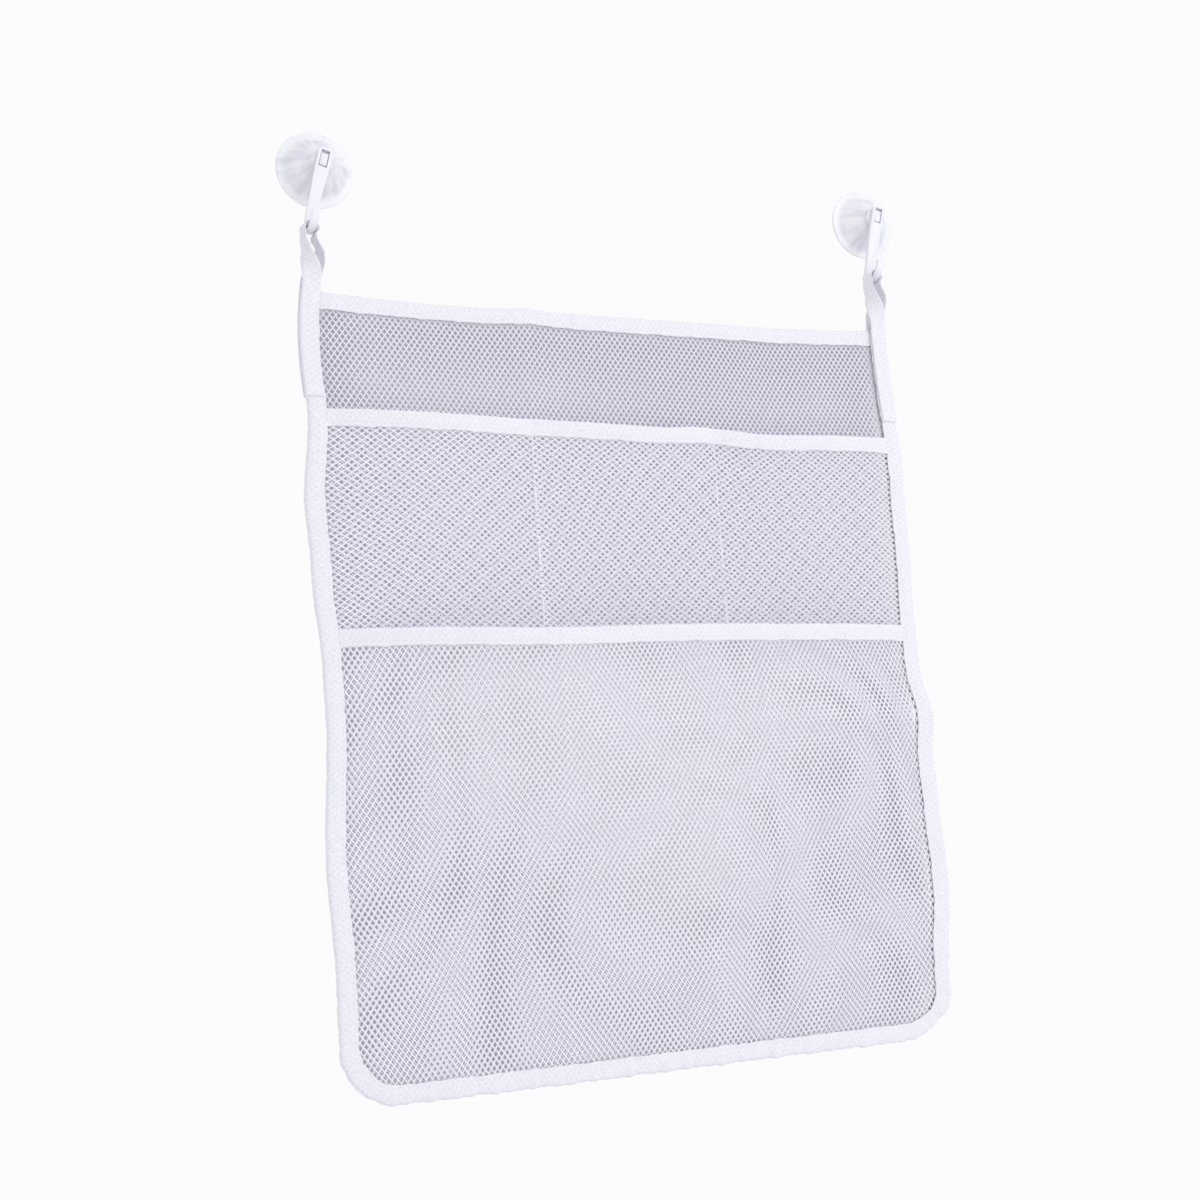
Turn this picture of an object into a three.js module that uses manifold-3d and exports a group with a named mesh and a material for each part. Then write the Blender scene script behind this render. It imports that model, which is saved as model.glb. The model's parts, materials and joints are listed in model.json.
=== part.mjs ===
// A hanging mesh bag for bath toys: a row of small pockets over one large pocket,
// held by two tape loops on two suction-cup hooks.
// Millimetres, +Z up. The wall is the plane y = 0, and the room is on its -Y side.
// The origin lies on the wall, midway between the two suction cups.

import * as THREE from 'three';
import { mergeVertices } from 'three/addons/utils/BufferGeometryUtils.js';
import Module from 'manifold-3d';

const wasm = await Module();
wasm.setup();

// Bag
const BAG_WIDTH = 380;
const BAG_HEIGHT = 440;
const BAG_CORNER_RADIUS = 32;
const SMALL_RIM_DROP = 70; // from the bag's top edge to the mouth of the small pockets
const MAIN_RIM_DROP = 191; // from the bag's top edge to the mouth of the large pocket
const SMALL_POCKET_COUNT = 3;
const SMALL_POCKET_BOW = 10; // how far a small pocket's mouth stands open
const MAIN_POCKET_BOW = 18; // how far the large pocket's mouth stands open
const PLUMB_OFFSET = 2.8; // the bag hangs this far behind the throats, with its weight under them

// Mesh and tape
const NET_THICKNESS = 0.5;
const NET_STRAND = 3.4;
const CELLS_PER_POCKET = 3; // mesh cells across one small pocket
const BACK_ROWS = 16; // half cells down each panel, always even
const SMALL_ROWS = 4;
const MAIN_ROWS = 8;
const TAPE_WIDTH = 10;
const TAPE_THICKNESS = 0.6;
const SELVAGE_GAP = 1.4; // from a panel's edge to the fold of the tape over it
const SEAM_WIDTH = 1.6;
const SEAM_THICKNESS = 0.6;
const FIT = 0.3; // clearance between pieces that touch

// Suction cups
const CUP_DIAMETER = 45;
const CUP_SEAL_WIDTH = 4.5;
const CUP_LIP = 1.4;
const CUP_CONE_RISE = 14.5;
const CUP_HOLLOW = 8.5;
const CONE_FULLNESS = 0.68; // how far the cone swells between its rim and its hub
const HUB_DIAMETER = 13;
const HUB_RISE = 2.3;
const NUB_WIDTH = 5;
const NUB_HEIGHT = 7.6;
const NUB_RECESS = 0.4; // how far the nub stays below the hook's front face

// Hooks
const HOOK_LEAN = 15.6; // degrees that each hook leans in the plane of the wall
const HOOK_WIDTH = 9;
const HOOK_TIP_WIDTH = 6;
const HOOK_THICKNESS = 2.6;
const HOOK_TOP = 7;
const HOOK_TOP_ROUND = 2.4;
const HOOK_TIP_ROUND = 2;
const HOOK_DROP = 40; // from the nub to the middle of the throat
const HOOK_WINDOW_HEIGHT = 9;
const HOOK_LIP = 4.5;
const THROAT_RADIUS = 5;

// Hanging loops
const LOOP_WIDTH = 10;
const LOOP_THICKNESS = 0.8;
const LOOP_RISE = 38.2; // from the bag's top edge to the middle of the throat
const LOOP_TAIL = 57; // sewn length below the bag's top edge
const LOOP_JOIN = 2; // above the top edge, where the strands start to twist
const LOOP_BEND = 2; // radius of the tape's turn beside the hook
const LOOP_CLEAR = 3; // straight stretch below the hook
const LOOP_PLAY = 1.6; // between the tape and the throat

// Facets
const CUP_SIDES = 36;
const ARC_STEPS = 12;
const CORNER_STEPS = 6;
const TWIST_STEPS = 14;
const BEND_STEPS = 4;
const LOOP_ACROSS = 5;

// Derived places
const lean = THREE.MathUtils.degToRad(HOOK_LEAN);
const cupRadius = CUP_DIAMETER / 2;
const hubFace = CUP_CONE_RISE + HUB_RISE;
const hookBack = hubFace + FIT;
const hookFront = hookBack + HOOK_THICKNESS;
const hookOuterRadius = THROAT_RADIUS + HOOK_THICKNESS;
const throatDepth = hookFront + THROAT_RADIUS;
const throat = new THREE.Vector3(-HOOK_DROP * Math.sin(lean), -throatDepth, -HOOK_DROP * Math.cos(lean));
const cupX = BAG_WIDTH / 2 - TAPE_WIDTH / 2;
const bagPlace = new THREE.Vector3(throat.x, throat.y + PLUMB_OFFSET, throat.z - LOOP_RISE);

// The folded tapes: a rim holds one layer of mesh and a binding holds two
const rimSlot = NET_THICKNESS / 2 + FIT;
const rimHalf = rimSlot + TAPE_THICKNESS;
const layerSpacing = rimHalf + FIT + NET_THICKNESS / 2;
const backLayer = layerSpacing / 2;
const frontLayer = -layerSpacing / 2;
const bindingSlot = layerSpacing / 2 + NET_THICKNESS / 2 + FIT;
const bindingHalf = bindingSlot + TAPE_THICKNESS;

// The lattice of every panel starts just inside the tapes
const selvageEdge = TAPE_THICKNESS + SELVAGE_GAP;
const latticeInset = TAPE_WIDTH + FIT;
const columns = 2 * CELLS_PER_POCKET * SMALL_POCKET_COUNT;
const latticeHalfWidth = BAG_WIDTH / 2 - latticeInset;
const pocketWidth = (2 * latticeHalfWidth) / SMALL_POCKET_COUNT;
const columnX = (i) => -latticeHalfWidth + (2 * latticeHalfWidth * i) / columns;

// Closed solids

function signedVolume(positions, triangles) {
  const a = new THREE.Vector3();
  const b = new THREE.Vector3();
  const c = new THREE.Vector3();
  let volume = 0;
  for (let i = 0; i < triangles.length; i += 3) {
    a.fromArray(positions, 3 * triangles[i]);
    b.fromArray(positions, 3 * triangles[i + 1]);
    c.fromArray(positions, 3 * triangles[i + 2]);
    volume += a.dot(b.cross(c)) / 6;
  }
  return volume;
}

// A geometry with its faces turned outwards
function closedGeometry(positions, triangles) {
  const facing = signedVolume(positions, triangles) < 0 ? [...triangles].reverse() : [...triangles];
  const geometry = new THREE.BufferGeometry();
  geometry.setAttribute('position', new THREE.Float32BufferAttribute(positions, 3));
  geometry.setIndex(facing);
  return geometry;
}

// A three.js geometry with its shared vertices merged and its empty triangles dropped
function welded(source) {
  const bare = source.clone();
  bare.deleteAttribute('normal');
  bare.deleteAttribute('uv');
  const merged = mergeVertices(bare, 1e-4);
  const index = Array.from(merged.index.array);
  const triangles = [];
  for (let i = 0; i < index.length; i += 3) {
    const [a, b, c] = index.slice(i, i + 3);
    if (a !== b && b !== c && c !== a) triangles.push(a, b, c);
  }
  return closedGeometry(Array.from(merged.attributes.position.array), triangles);
}

function toManifold(source) {
  const geometry = welded(source);
  const mesh = new wasm.Mesh({
    numProp: 3,
    vertProperties: new Float32Array(geometry.attributes.position.array),
    triVerts: new Uint32Array(geometry.index.array),
  });
  return new wasm.Manifold(mesh);
}

function fromManifold(solid) {
  const mesh = solid.getMesh();
  return closedGeometry(Array.from(mesh.vertProperties), Array.from(mesh.triVerts));
}

// A section carried along stations, each with its place and its two section axes
function sweep(stations, sectionAt) {
  const positions = [];
  const triangles = [];
  const sections = stations.map(sectionAt);
  const count = sections[0].length;
  stations.forEach((station, k) => {
    for (const point of sections[k]) {
      const place = station.at.clone();
      place.addScaledVector(station.across, point.x).addScaledVector(station.out, point.y);
      positions.push(place.x, place.y, place.z);
    }
  });
  for (let k = 0; k + 1 < stations.length; k += 1) {
    for (let p = 0; p < count; p += 1) {
      const q = (p + 1) % count;
      const near = k * count;
      const far = near + count;
      triangles.push(near + p, near + q, far + q, near + p, far + q, far + p);
    }
  }
  const addCap = (k, forward) => {
    for (const [a, b, c] of THREE.ShapeUtils.triangulateShape(sections[k], [])) {
      const area = THREE.ShapeUtils.area([sections[k][a], sections[k][b], sections[k][c]]);
      const base = k * count;
      if (area > 0 === forward) triangles.push(base + a, base + b, base + c);
      else triangles.push(base + a, base + c, base + b);
    }
  };
  addCap(0, false);
  addCap(stations.length - 1, true);
  return closedGeometry(positions, triangles);
}

// Suction cup: a cone with a flat sealing rim, a hollow back and a rectangular nub

function cupGeometry() {
  const hubRadius = HUB_DIAMETER / 2;
  const sealRadius = cupRadius - CUP_SEAL_WIDTH;
  const hollow = new THREE.QuadraticBezierCurve(
    new THREE.Vector2(0, CUP_HOLLOW),
    new THREE.Vector2(sealRadius * CONE_FULLNESS, CUP_HOLLOW),
    new THREE.Vector2(sealRadius, 0),
  );
  const cone = new THREE.QuadraticBezierCurve(
    new THREE.Vector2(sealRadius, CUP_LIP + CUP_LIP / 2),
    new THREE.Vector2(sealRadius * CONE_FULLNESS, CUP_CONE_RISE * CONE_FULLNESS),
    new THREE.Vector2(hubRadius, CUP_CONE_RISE),
  );
  const edge = CUP_LIP / 4;
  const profile = [
    ...hollow.getPoints(CORNER_STEPS),
    new THREE.Vector2(cupRadius - edge, 0),
    new THREE.Vector2(cupRadius, edge),
    new THREE.Vector2(cupRadius, CUP_LIP - edge),
    new THREE.Vector2(cupRadius - edge, CUP_LIP),
    ...cone.getPoints(CORNER_STEPS),
    new THREE.Vector2(hubRadius, hubFace - edge),
    new THREE.Vector2(hubRadius - edge, hubFace),
    new THREE.Vector2(0, hubFace),
  ];
  const body = new THREE.LatheGeometry(profile, CUP_SIDES);
  body.rotateX(Math.PI);
  const nubFront = hookFront - NUB_RECESS;
  const nub = new THREE.BoxGeometry(NUB_WIDTH, nubFront - CUP_CONE_RISE, NUB_HEIGHT);
  nub.translate(0, -(nubFront + CUP_CONE_RISE) / 2, 0);
  return fromManifold(toManifold(body).add(toManifold(nub)));
}

// Hook: a J in side view, trimmed to its front outline and pierced for the nub

function hookSideShape() {
  const shape = new THREE.Shape();
  shape.moveTo(hookBack, HOOK_TOP);
  shape.lineTo(hookBack, -HOOK_DROP);
  shape.absarc(throatDepth, -HOOK_DROP, hookOuterRadius, Math.PI, 2 * Math.PI, false);
  shape.lineTo(throatDepth + hookOuterRadius, HOOK_LIP - HOOK_DROP);
  const tipCentre = throatDepth + THROAT_RADIUS + HOOK_THICKNESS / 2;
  shape.absarc(tipCentre, HOOK_LIP - HOOK_DROP, HOOK_THICKNESS / 2, 0, Math.PI, false);
  shape.lineTo(throatDepth + THROAT_RADIUS, -HOOK_DROP);
  shape.absarc(throatDepth, -HOOK_DROP, THROAT_RADIUS, 2 * Math.PI, Math.PI, true);
  shape.lineTo(hookFront, HOOK_TOP);
  shape.closePath();
  return shape;
}

function hookFrontShape() {
  const wide = HOOK_WIDTH / 2;
  const slim = HOOK_TIP_WIDTH / 2;
  const foot = -HOOK_DROP - hookOuterRadius;
  const shape = new THREE.Shape();
  shape.moveTo(-slim + HOOK_TIP_ROUND, foot);
  shape.lineTo(slim - HOOK_TIP_ROUND, foot);
  shape.absarc(slim - HOOK_TIP_ROUND, foot + HOOK_TIP_ROUND, HOOK_TIP_ROUND, -Math.PI / 2, 0, false);
  shape.lineTo(slim, -HOOK_DROP);
  shape.lineTo(wide, -HOOK_WINDOW_HEIGHT);
  shape.absarc(wide - HOOK_TOP_ROUND, HOOK_TOP - HOOK_TOP_ROUND, HOOK_TOP_ROUND, 0, Math.PI / 2, false);
  shape.absarc(HOOK_TOP_ROUND - wide, HOOK_TOP - HOOK_TOP_ROUND, HOOK_TOP_ROUND, Math.PI / 2, Math.PI, false);
  shape.lineTo(-wide, -HOOK_WINDOW_HEIGHT);
  shape.lineTo(-slim, -HOOK_DROP);
  shape.absarc(HOOK_TIP_ROUND - slim, foot + HOOK_TIP_ROUND, HOOK_TIP_ROUND, Math.PI, 1.5 * Math.PI, false);
  shape.closePath();
  return shape;
}

function hookGeometry() {
  const flat = (depth) => ({ depth, bevelEnabled: false, curveSegments: ARC_STEPS });
  const side = new THREE.ExtrudeGeometry(hookSideShape(), flat(HOOK_WIDTH));
  side.translate(0, 0, -HOOK_WIDTH / 2);
  const sideAxes = new THREE.Matrix4().makeBasis(
    new THREE.Vector3(0, -1, 0),
    new THREE.Vector3(0, 0, 1),
    new THREE.Vector3(-1, 0, 0),
  );
  side.applyMatrix4(sideAxes);
  const front = new THREE.ExtrudeGeometry(hookFrontShape(), flat(throatDepth + 2 * hookOuterRadius));
  front.rotateX(Math.PI / 2);
  const window = new THREE.BoxGeometry(NUB_WIDTH + 2 * FIT, 2 * throatDepth, HOOK_WINDOW_HEIGHT);
  const trimmed = toManifold(side).intersect(toManifold(front));
  const lowered = (HOOK_WINDOW_HEIGHT - NUB_HEIGHT) / 2 - FIT;
  window.translate(0, 0, -lowered);
  return fromManifold(trimmed.subtract(toManifold(window)));
}

// Hanging loop: one tape that rises in front of the side binding, twists a quarter turn,
// crosses the hook's throat in a trough and comes down again behind the binding

function loopGeometry() {
  const curlRadius = THROAT_RADIUS - LOOP_PLAY - LOOP_THICKNESS / 2;
  const baseOffset = bindingHalf + FIT + LOOP_THICKNESS / 2;
  // The leaning hook's foot reaches furthest to the side at its rounded corner
  const footDrop = (hookOuterRadius - HOOK_TIP_ROUND) * Math.sin(lean);
  const footReach = footDrop + (HOOK_TIP_WIDTH / 2 - HOOK_TIP_ROUND) * Math.cos(lean) + HOOK_TIP_ROUND;
  const topOffset = footReach + 1.5 * FIT + LOOP_THICKNESS / 2;
  const twistEnd = LOOP_RISE - hookOuterRadius - LOOP_CLEAR;
  const bendStart = LOOP_RISE - curlRadius - LOOP_BEND;
  const curlStart = twistEnd - LOOP_CLEAR;

  const strandAt = (z, side) => {
    const turn = THREE.MathUtils.smoothstep(z, LOOP_JOIN, twistEnd);
    const angle = (turn * Math.PI) / 2;
    const out = new THREE.Vector3(-Math.sin(angle), -Math.cos(angle), 0).multiplyScalar(side);
    const at = new THREE.Vector3(0, -PLUMB_OFFSET * turn, z);
    at.addScaledVector(out, THREE.MathUtils.lerp(baseOffset, topOffset, turn));
    return { at, out, curl: THREE.MathUtils.smoothstep(z, curlStart, bendStart) / curlRadius };
  };
  const bendAt = (angle, side) => {
    const out = new THREE.Vector3(-side * Math.cos(angle), 0, Math.sin(angle));
    const at = new THREE.Vector3(-side * (topOffset - LOOP_BEND), -PLUMB_OFFSET, bendStart);
    return { at: at.addScaledVector(out, LOOP_BEND), out, curl: 1 / curlRadius };
  };
  const halfLoop = (side) => {
    const half = [strandAt(-LOOP_TAIL, side), strandAt(0, side)];
    for (let k = 0; k <= TWIST_STEPS; k += 1) {
      half.push(strandAt(THREE.MathUtils.lerp(LOOP_JOIN, twistEnd, k / TWIST_STEPS), side));
    }
    half.push(strandAt((twistEnd + bendStart) / 2, side));
    for (let k = 0; k <= BEND_STEPS; k += 1) half.push(bendAt(((k / BEND_STEPS) * Math.PI) / 2, side));
    return half;
  };
  const stations = [...halfLoop(1), ...halfLoop(-1).reverse()];
  stations.forEach((station, k) => {
    const before = stations[Math.max(k - 1, 0)].at;
    const after = stations[Math.min(k + 1, stations.length - 1)].at;
    const along = after.clone().sub(before).normalize();
    station.out.addScaledVector(along, -station.out.dot(along)).normalize();
    station.across = station.out.clone().cross(along);
  });
  // The tape's section, flat or curled into a trough
  const section = ({ curl }) => {
    const lower = [];
    const upper = [];
    for (let k = 0; k <= LOOP_ACROSS; k += 1) {
      const s = (k / LOOP_ACROSS - 0.5) * LOOP_WIDTH;
      const angle = curl * s;
      const middle = new THREE.Vector2(s, 0);
      if (angle !== 0) middle.set(Math.sin(angle) / curl, (1 - Math.cos(angle)) / curl);
      const normal = new THREE.Vector2(-Math.sin(angle), Math.cos(angle));
      lower.push(middle.clone().addScaledVector(normal, -LOOP_THICKNESS / 2));
      upper.unshift(middle.clone().addScaledVector(normal, LOOP_THICKNESS / 2));
    }
    return [...lower, ...upper];
  };
  return sweep(stations, section);
}

// Folded tapes

function channelDown(half, slot) {
  return [
    new THREE.Vector2(-half, -TAPE_WIDTH),
    new THREE.Vector2(-slot, -TAPE_WIDTH),
    new THREE.Vector2(-slot, -TAPE_THICKNESS),
    new THREE.Vector2(slot, -TAPE_THICKNESS),
    new THREE.Vector2(slot, -TAPE_WIDTH),
    new THREE.Vector2(half, -TAPE_WIDTH),
    new THREE.Vector2(half, 0),
    new THREE.Vector2(-half, 0),
  ];
}

// A tape over a panel's upper edge, which follows the panel's bow
function rimGeometry(top, layer, bow, half, slot) {
  const across = new THREE.Vector3(0, 1, 0);
  const out = new THREE.Vector3(0, 0, 1);
  const stations = [];
  for (let i = 0; i <= columns; i += 1) {
    const x = columnX(i);
    stations.push({ at: new THREE.Vector3(x, layer - bow(x, top), top), across, out });
  }
  const section = channelDown(half, slot);
  return sweep(stations, () => section);
}

// The tape round both sides and the foot, in one length
function sideBindingGeometry() {
  const halfWidth = BAG_WIDTH / 2;
  const out = new THREE.Vector3(0, -1, 0);
  const stations = [{ at: new THREE.Vector3(-halfWidth, 0, 0), across: new THREE.Vector3(1, 0, 0), out }];
  for (const side of [-1, 1]) {
    const centre = new THREE.Vector3(side * (halfWidth - BAG_CORNER_RADIUS), 0, BAG_CORNER_RADIUS - BAG_HEIGHT);
    for (let k = 0; k <= CORNER_STEPS; k += 1) {
      const share = side < 0 ? k / CORNER_STEPS : 1 - k / CORNER_STEPS;
      const angle = (share * Math.PI) / 2;
      const inward = new THREE.Vector3(-side * Math.cos(angle), 0, Math.sin(angle));
      const at = centre.clone().addScaledVector(inward, -BAG_CORNER_RADIUS);
      stations.push({ at, across: inward, out });
    }
  }
  stations.push({ at: new THREE.Vector3(halfWidth, 0, 0), across: new THREE.Vector3(-1, 0, 0), out });
  const section = [
    new THREE.Vector2(0, -bindingHalf),
    new THREE.Vector2(TAPE_WIDTH, -bindingHalf),
    new THREE.Vector2(TAPE_WIDTH, -bindingSlot),
    new THREE.Vector2(TAPE_THICKNESS, -bindingSlot),
    new THREE.Vector2(TAPE_THICKNESS, bindingSlot),
    new THREE.Vector2(TAPE_WIDTH, bindingSlot),
    new THREE.Vector2(TAPE_WIDTH, bindingHalf),
    new THREE.Vector2(0, bindingHalf),
  ];
  return sweep(stations, () => section);
}

// Mesh panel: a lattice of diamond cells with half cells along its edges and a plain selvage

function netGeometry({ top, bottom, rows, layer, bow, roundFoot }) {
  const latticeTop = top - latticeInset;
  const latticeBottom = bottom + latticeInset;
  const selvage = latticeInset - selvageEdge;
  const rowZ = (j) => latticeTop - ((latticeTop - latticeBottom) * j) / rows;
  const points = [];
  const addPoint = (x, z) => points.push(new THREE.Vector2(x, z)) - 1;
  const cornerAt = (side, radius) => {
    const reach = radius * Math.SQRT1_2;
    const x = side * (BAG_WIDTH / 2 - BAG_CORNER_RADIUS + reach);
    return addPoint(x, bottom + BAG_CORNER_RADIUS - reach);
  };

  const known = new Map();
  const node = (i, j) => {
    const key = i * (rows + 1) + j;
    if (!known.has(key)) {
      const corner = roundFoot && j === rows && (i === 0 || i === columns);
      const side = i === 0 ? -1 : 1;
      const made = corner
        ? cornerAt(side, BAG_CORNER_RADIUS - latticeInset)
        : addPoint(columnX(i), rowZ(j));
      known.set(key, made);
    }
    return known.get(key);
  };

  // Each cell lists its corners anticlockwise, as the room sees it
  const cells = [];
  for (let i = 0; i <= columns; i += 1) {
    for (let j = 0; j <= rows; j += 1) {
      if ((i + j) % 2 === 0) continue;
      if (i === 0) cells.push([node(0, j - 1), node(0, j), node(0, j + 1), node(1, j)]);
      else if (i === columns) cells.push([node(i, j + 1), node(i, j), node(i, j - 1), node(i - 1, j)]);
      else if (j === 0) cells.push([node(i + 1, 0), node(i, 0), node(i - 1, 0), node(i, 1)]);
      else if (j === rows) cells.push([node(i - 1, j), node(i, j), node(i + 1, j), node(i, j - 1)]);
      else cells.push([node(i - 1, j), node(i, j + 1), node(i + 1, j), node(i, j - 1)]);
    }
  }

  // The edge of the lattice and the edge of the selvage, both anticlockwise from the top left
  const rim = [];
  const border = [];
  const addEdge = (i, j, dx, dz) => {
    const inner = node(i, j);
    rim.push(inner);
    border.push(addPoint(points[inner].x + dx * selvage, points[inner].y + dz * selvage));
  };
  const addCorner = (i, j, dx, dz) => {
    if (roundFoot && dz < 0) {
      rim.push(node(i, j));
      border.push(cornerAt(dx, BAG_CORNER_RADIUS - selvageEdge));
      return;
    }
    const steps = [[0, dz], [dx, dz], [dx, 0]];
    if (dx * dz > 0) steps.reverse();
    for (const [stepX, stepZ] of steps) addEdge(i, j, stepX, stepZ);
  };
  addCorner(0, 0, -1, 1);
  for (let j = 1; j < rows; j += 1) addEdge(0, j, -1, 0);
  addCorner(0, rows, -1, -1);
  for (let i = 1; i < columns; i += 1) addEdge(i, rows, 0, -1);
  addCorner(columns, rows, 1, -1);
  for (let j = rows - 1; j > 0; j -= 1) addEdge(columns, j, 1, 0);
  addCorner(columns, 0, 1, 1);
  for (let i = columns - 1; i > 0; i -= 1) addEdge(i, 0, 0, 1);

  const triangles = [];
  const faces = (a, b, c, d) => {
    triangles.push(2 * a, 2 * b, 2 * c, 2 * a + 1, 2 * c + 1, 2 * b + 1);
    if (c !== d) triangles.push(2 * a, 2 * c, 2 * d, 2 * a + 1, 2 * d + 1, 2 * c + 1);
  };
  const wall = (a, b) => {
    triangles.push(2 * a, 2 * b, 2 * b + 1, 2 * a, 2 * b + 1, 2 * a + 1);
  };

  for (const cell of cells) {
    const corners = cell.map((k) => points[k]);
    const centre = cellCentre(corners);
    const shrink = 1 - NET_STRAND / 2 / centre.inradius;
    const hole = corners.map((p) => {
      const inner = p.clone().sub(centre.at).multiplyScalar(shrink).add(centre.at);
      return addPoint(inner.x, inner.y);
    });
    cell.forEach((outer, k) => {
      const next = (k + 1) % cell.length;
      faces(outer, cell[next], hole[next], hole[k]);
      wall(hole[k], hole[next]);
    });
  }
  rim.forEach((inner, k) => {
    const next = (k + 1) % rim.length;
    faces(border[k], border[next], rim[next], inner);
    wall(border[next], border[k]);
  });

  const positions = [];
  for (const p of points) {
    const y = layer - bow(p.x, p.y);
    positions.push(p.x, y - NET_THICKNESS / 2, p.y, p.x, y + NET_THICKNESS / 2, p.y);
  }
  return closedGeometry(positions, triangles);
}

// The point of a cell that lies deepest inside it, and its distance to the sides
function cellCentre(corners) {
  const [a, b, c, d] = corners;
  const full = a.clone().add(c).sub(b).sub(d).length() < 1;
  if (full) {
    const at = a.clone().add(c).multiplyScalar(0.5);
    const halfWide = a.distanceTo(c) / 2;
    const halfTall = b.distanceTo(d) / 2;
    return { at, inradius: (halfWide * halfTall) / Math.hypot(halfWide, halfTall) };
  }
  const sideA = c.distanceTo(d);
  const sideC = d.distanceTo(a);
  const sideD = a.distanceTo(c);
  const round = sideA + sideC + sideD;
  const at = new THREE.Vector2();
  at.addScaledVector(a, sideA / round).addScaledVector(c, sideC / round).addScaledVector(d, sideD / round);
  const area = Math.abs(THREE.ShapeUtils.area([a, c, d]));
  return { at, inradius: (2 * area) / round };
}

// How far the pocket fronts stand away from the back panel

const fade = (z, top, bottom) => 1 - THREE.MathUtils.clamp((top - z) / (top - bottom), 0, 1) ** 2.5;
const flat = () => 0;
const smallTop = -SMALL_RIM_DROP;
const mainTop = -MAIN_RIM_DROP;
const smallBottom = mainTop + FIT - selvageEdge;

function smallBow(x, z) {
  const inside = THREE.MathUtils.clamp(x + latticeHalfWidth, 0, 2 * latticeHalfWidth);
  const arch = (1 - Math.cos((2 * Math.PI * inside) / pocketWidth)) / 2;
  return SMALL_POCKET_BOW * arch * fade(z, smallTop - latticeInset, smallBottom + latticeInset);
}

function mainBow(x, z) {
  const share = Math.min(Math.abs(x) / latticeHalfWidth, 1);
  return MAIN_POCKET_BOW * (1 - share ** 3) * fade(z, mainTop - latticeInset, latticeInset - BAG_HEIGHT);
}

// Stitched line between two small pockets
function seamGeometry(i) {
  const top = smallTop - TAPE_WIDTH - FIT;
  const bottom = smallBottom + selvageEdge;
  const seam = new THREE.BoxGeometry(SEAM_WIDTH, SEAM_THICKNESS, top - bottom);
  const y = frontLayer - NET_THICKNESS / 2 - FIT - SEAM_THICKNESS / 2;
  seam.translate(columnX(i), y, (top + bottom) / 2);
  return welded(seam);
}

// Assembly

const finish = {
  cup: { color: 0xdcdbe6, roughness: 0.25, metalness: 0 },
  hook: { color: 0xf2f0f6, roughness: 0.3, metalness: 0 },
  tape: { color: 0xedecf8, roughness: 0.85, metalness: 0 },
  net: { color: 0xefeefa, roughness: 0.8, metalness: 0 },
  thread: { color: 0xf4f3fb, roughness: 0.7, metalness: 0 },
};

function piece(name, geometry, look) {
  geometry.computeVertexNormals();
  const mesh = new THREE.Mesh(geometry, new THREE.MeshStandardMaterial(look));
  mesh.name = name;
  return mesh;
}

const organizer = new THREE.Group();
const bag = new THREE.Group();
bag.position.copy(bagPlace);
organizer.add(bag);

for (const [label, side] of [['left', -1], ['right', 1]]) {
  const holder = new THREE.Group();
  holder.position.x = side * cupX;
  holder.rotation.y = lean;
  holder.add(piece(`${label}_suction_cup`, cupGeometry(), finish.cup));
  holder.add(piece(`${label}_hook`, hookGeometry(), finish.hook));
  organizer.add(holder);

  const loop = piece(`${label}_hanging_loop`, loopGeometry(), finish.tape);
  loop.position.x = side * cupX;
  bag.add(loop);
}

const backPanel = netGeometry({
  top: 0,
  bottom: -BAG_HEIGHT,
  rows: BACK_ROWS,
  layer: backLayer,
  bow: flat,
  roundFoot: true,
});
const smallPanel = netGeometry({
  top: smallTop,
  bottom: smallBottom,
  rows: SMALL_ROWS,
  layer: frontLayer,
  bow: smallBow,
  roundFoot: false,
});
const mainPanel = netGeometry({
  top: mainTop,
  bottom: -BAG_HEIGHT,
  rows: MAIN_ROWS,
  layer: frontLayer,
  bow: mainBow,
  roundFoot: true,
});
bag.add(piece('back_panel', backPanel, finish.net));
bag.add(piece('small_pocket_panel', smallPanel, finish.net));
bag.add(piece('main_pocket_panel', mainPanel, finish.net));
bag.add(piece('top_binding', rimGeometry(0, 0, flat, bindingHalf, bindingSlot), finish.tape));
bag.add(piece('side_binding', sideBindingGeometry(), finish.tape));
bag.add(piece('small_pocket_rim', rimGeometry(smallTop, frontLayer, smallBow, rimHalf, rimSlot), finish.tape));
bag.add(piece('main_pocket_rim', rimGeometry(mainTop, frontLayer, mainBow, rimHalf, rimSlot), finish.tape));
for (let k = 1; k < SMALL_POCKET_COUNT; k += 1) {
  bag.add(piece(`divider_seam_${k}`, seamGeometry(2 * CELLS_PER_POCKET * k), finish.thread));
}

export default organizer;
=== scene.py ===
"""A hanging mesh bag for bath toys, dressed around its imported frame.

Every length is in metres. The bag has its own flat coordinates: u runs to the right from its middle,
v runs up from its top edge, and w comes out of its middle plane towards the room.
"""

import json
import math

import bpy
import numpy as np
from mathutils import Matrix, Vector

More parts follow.
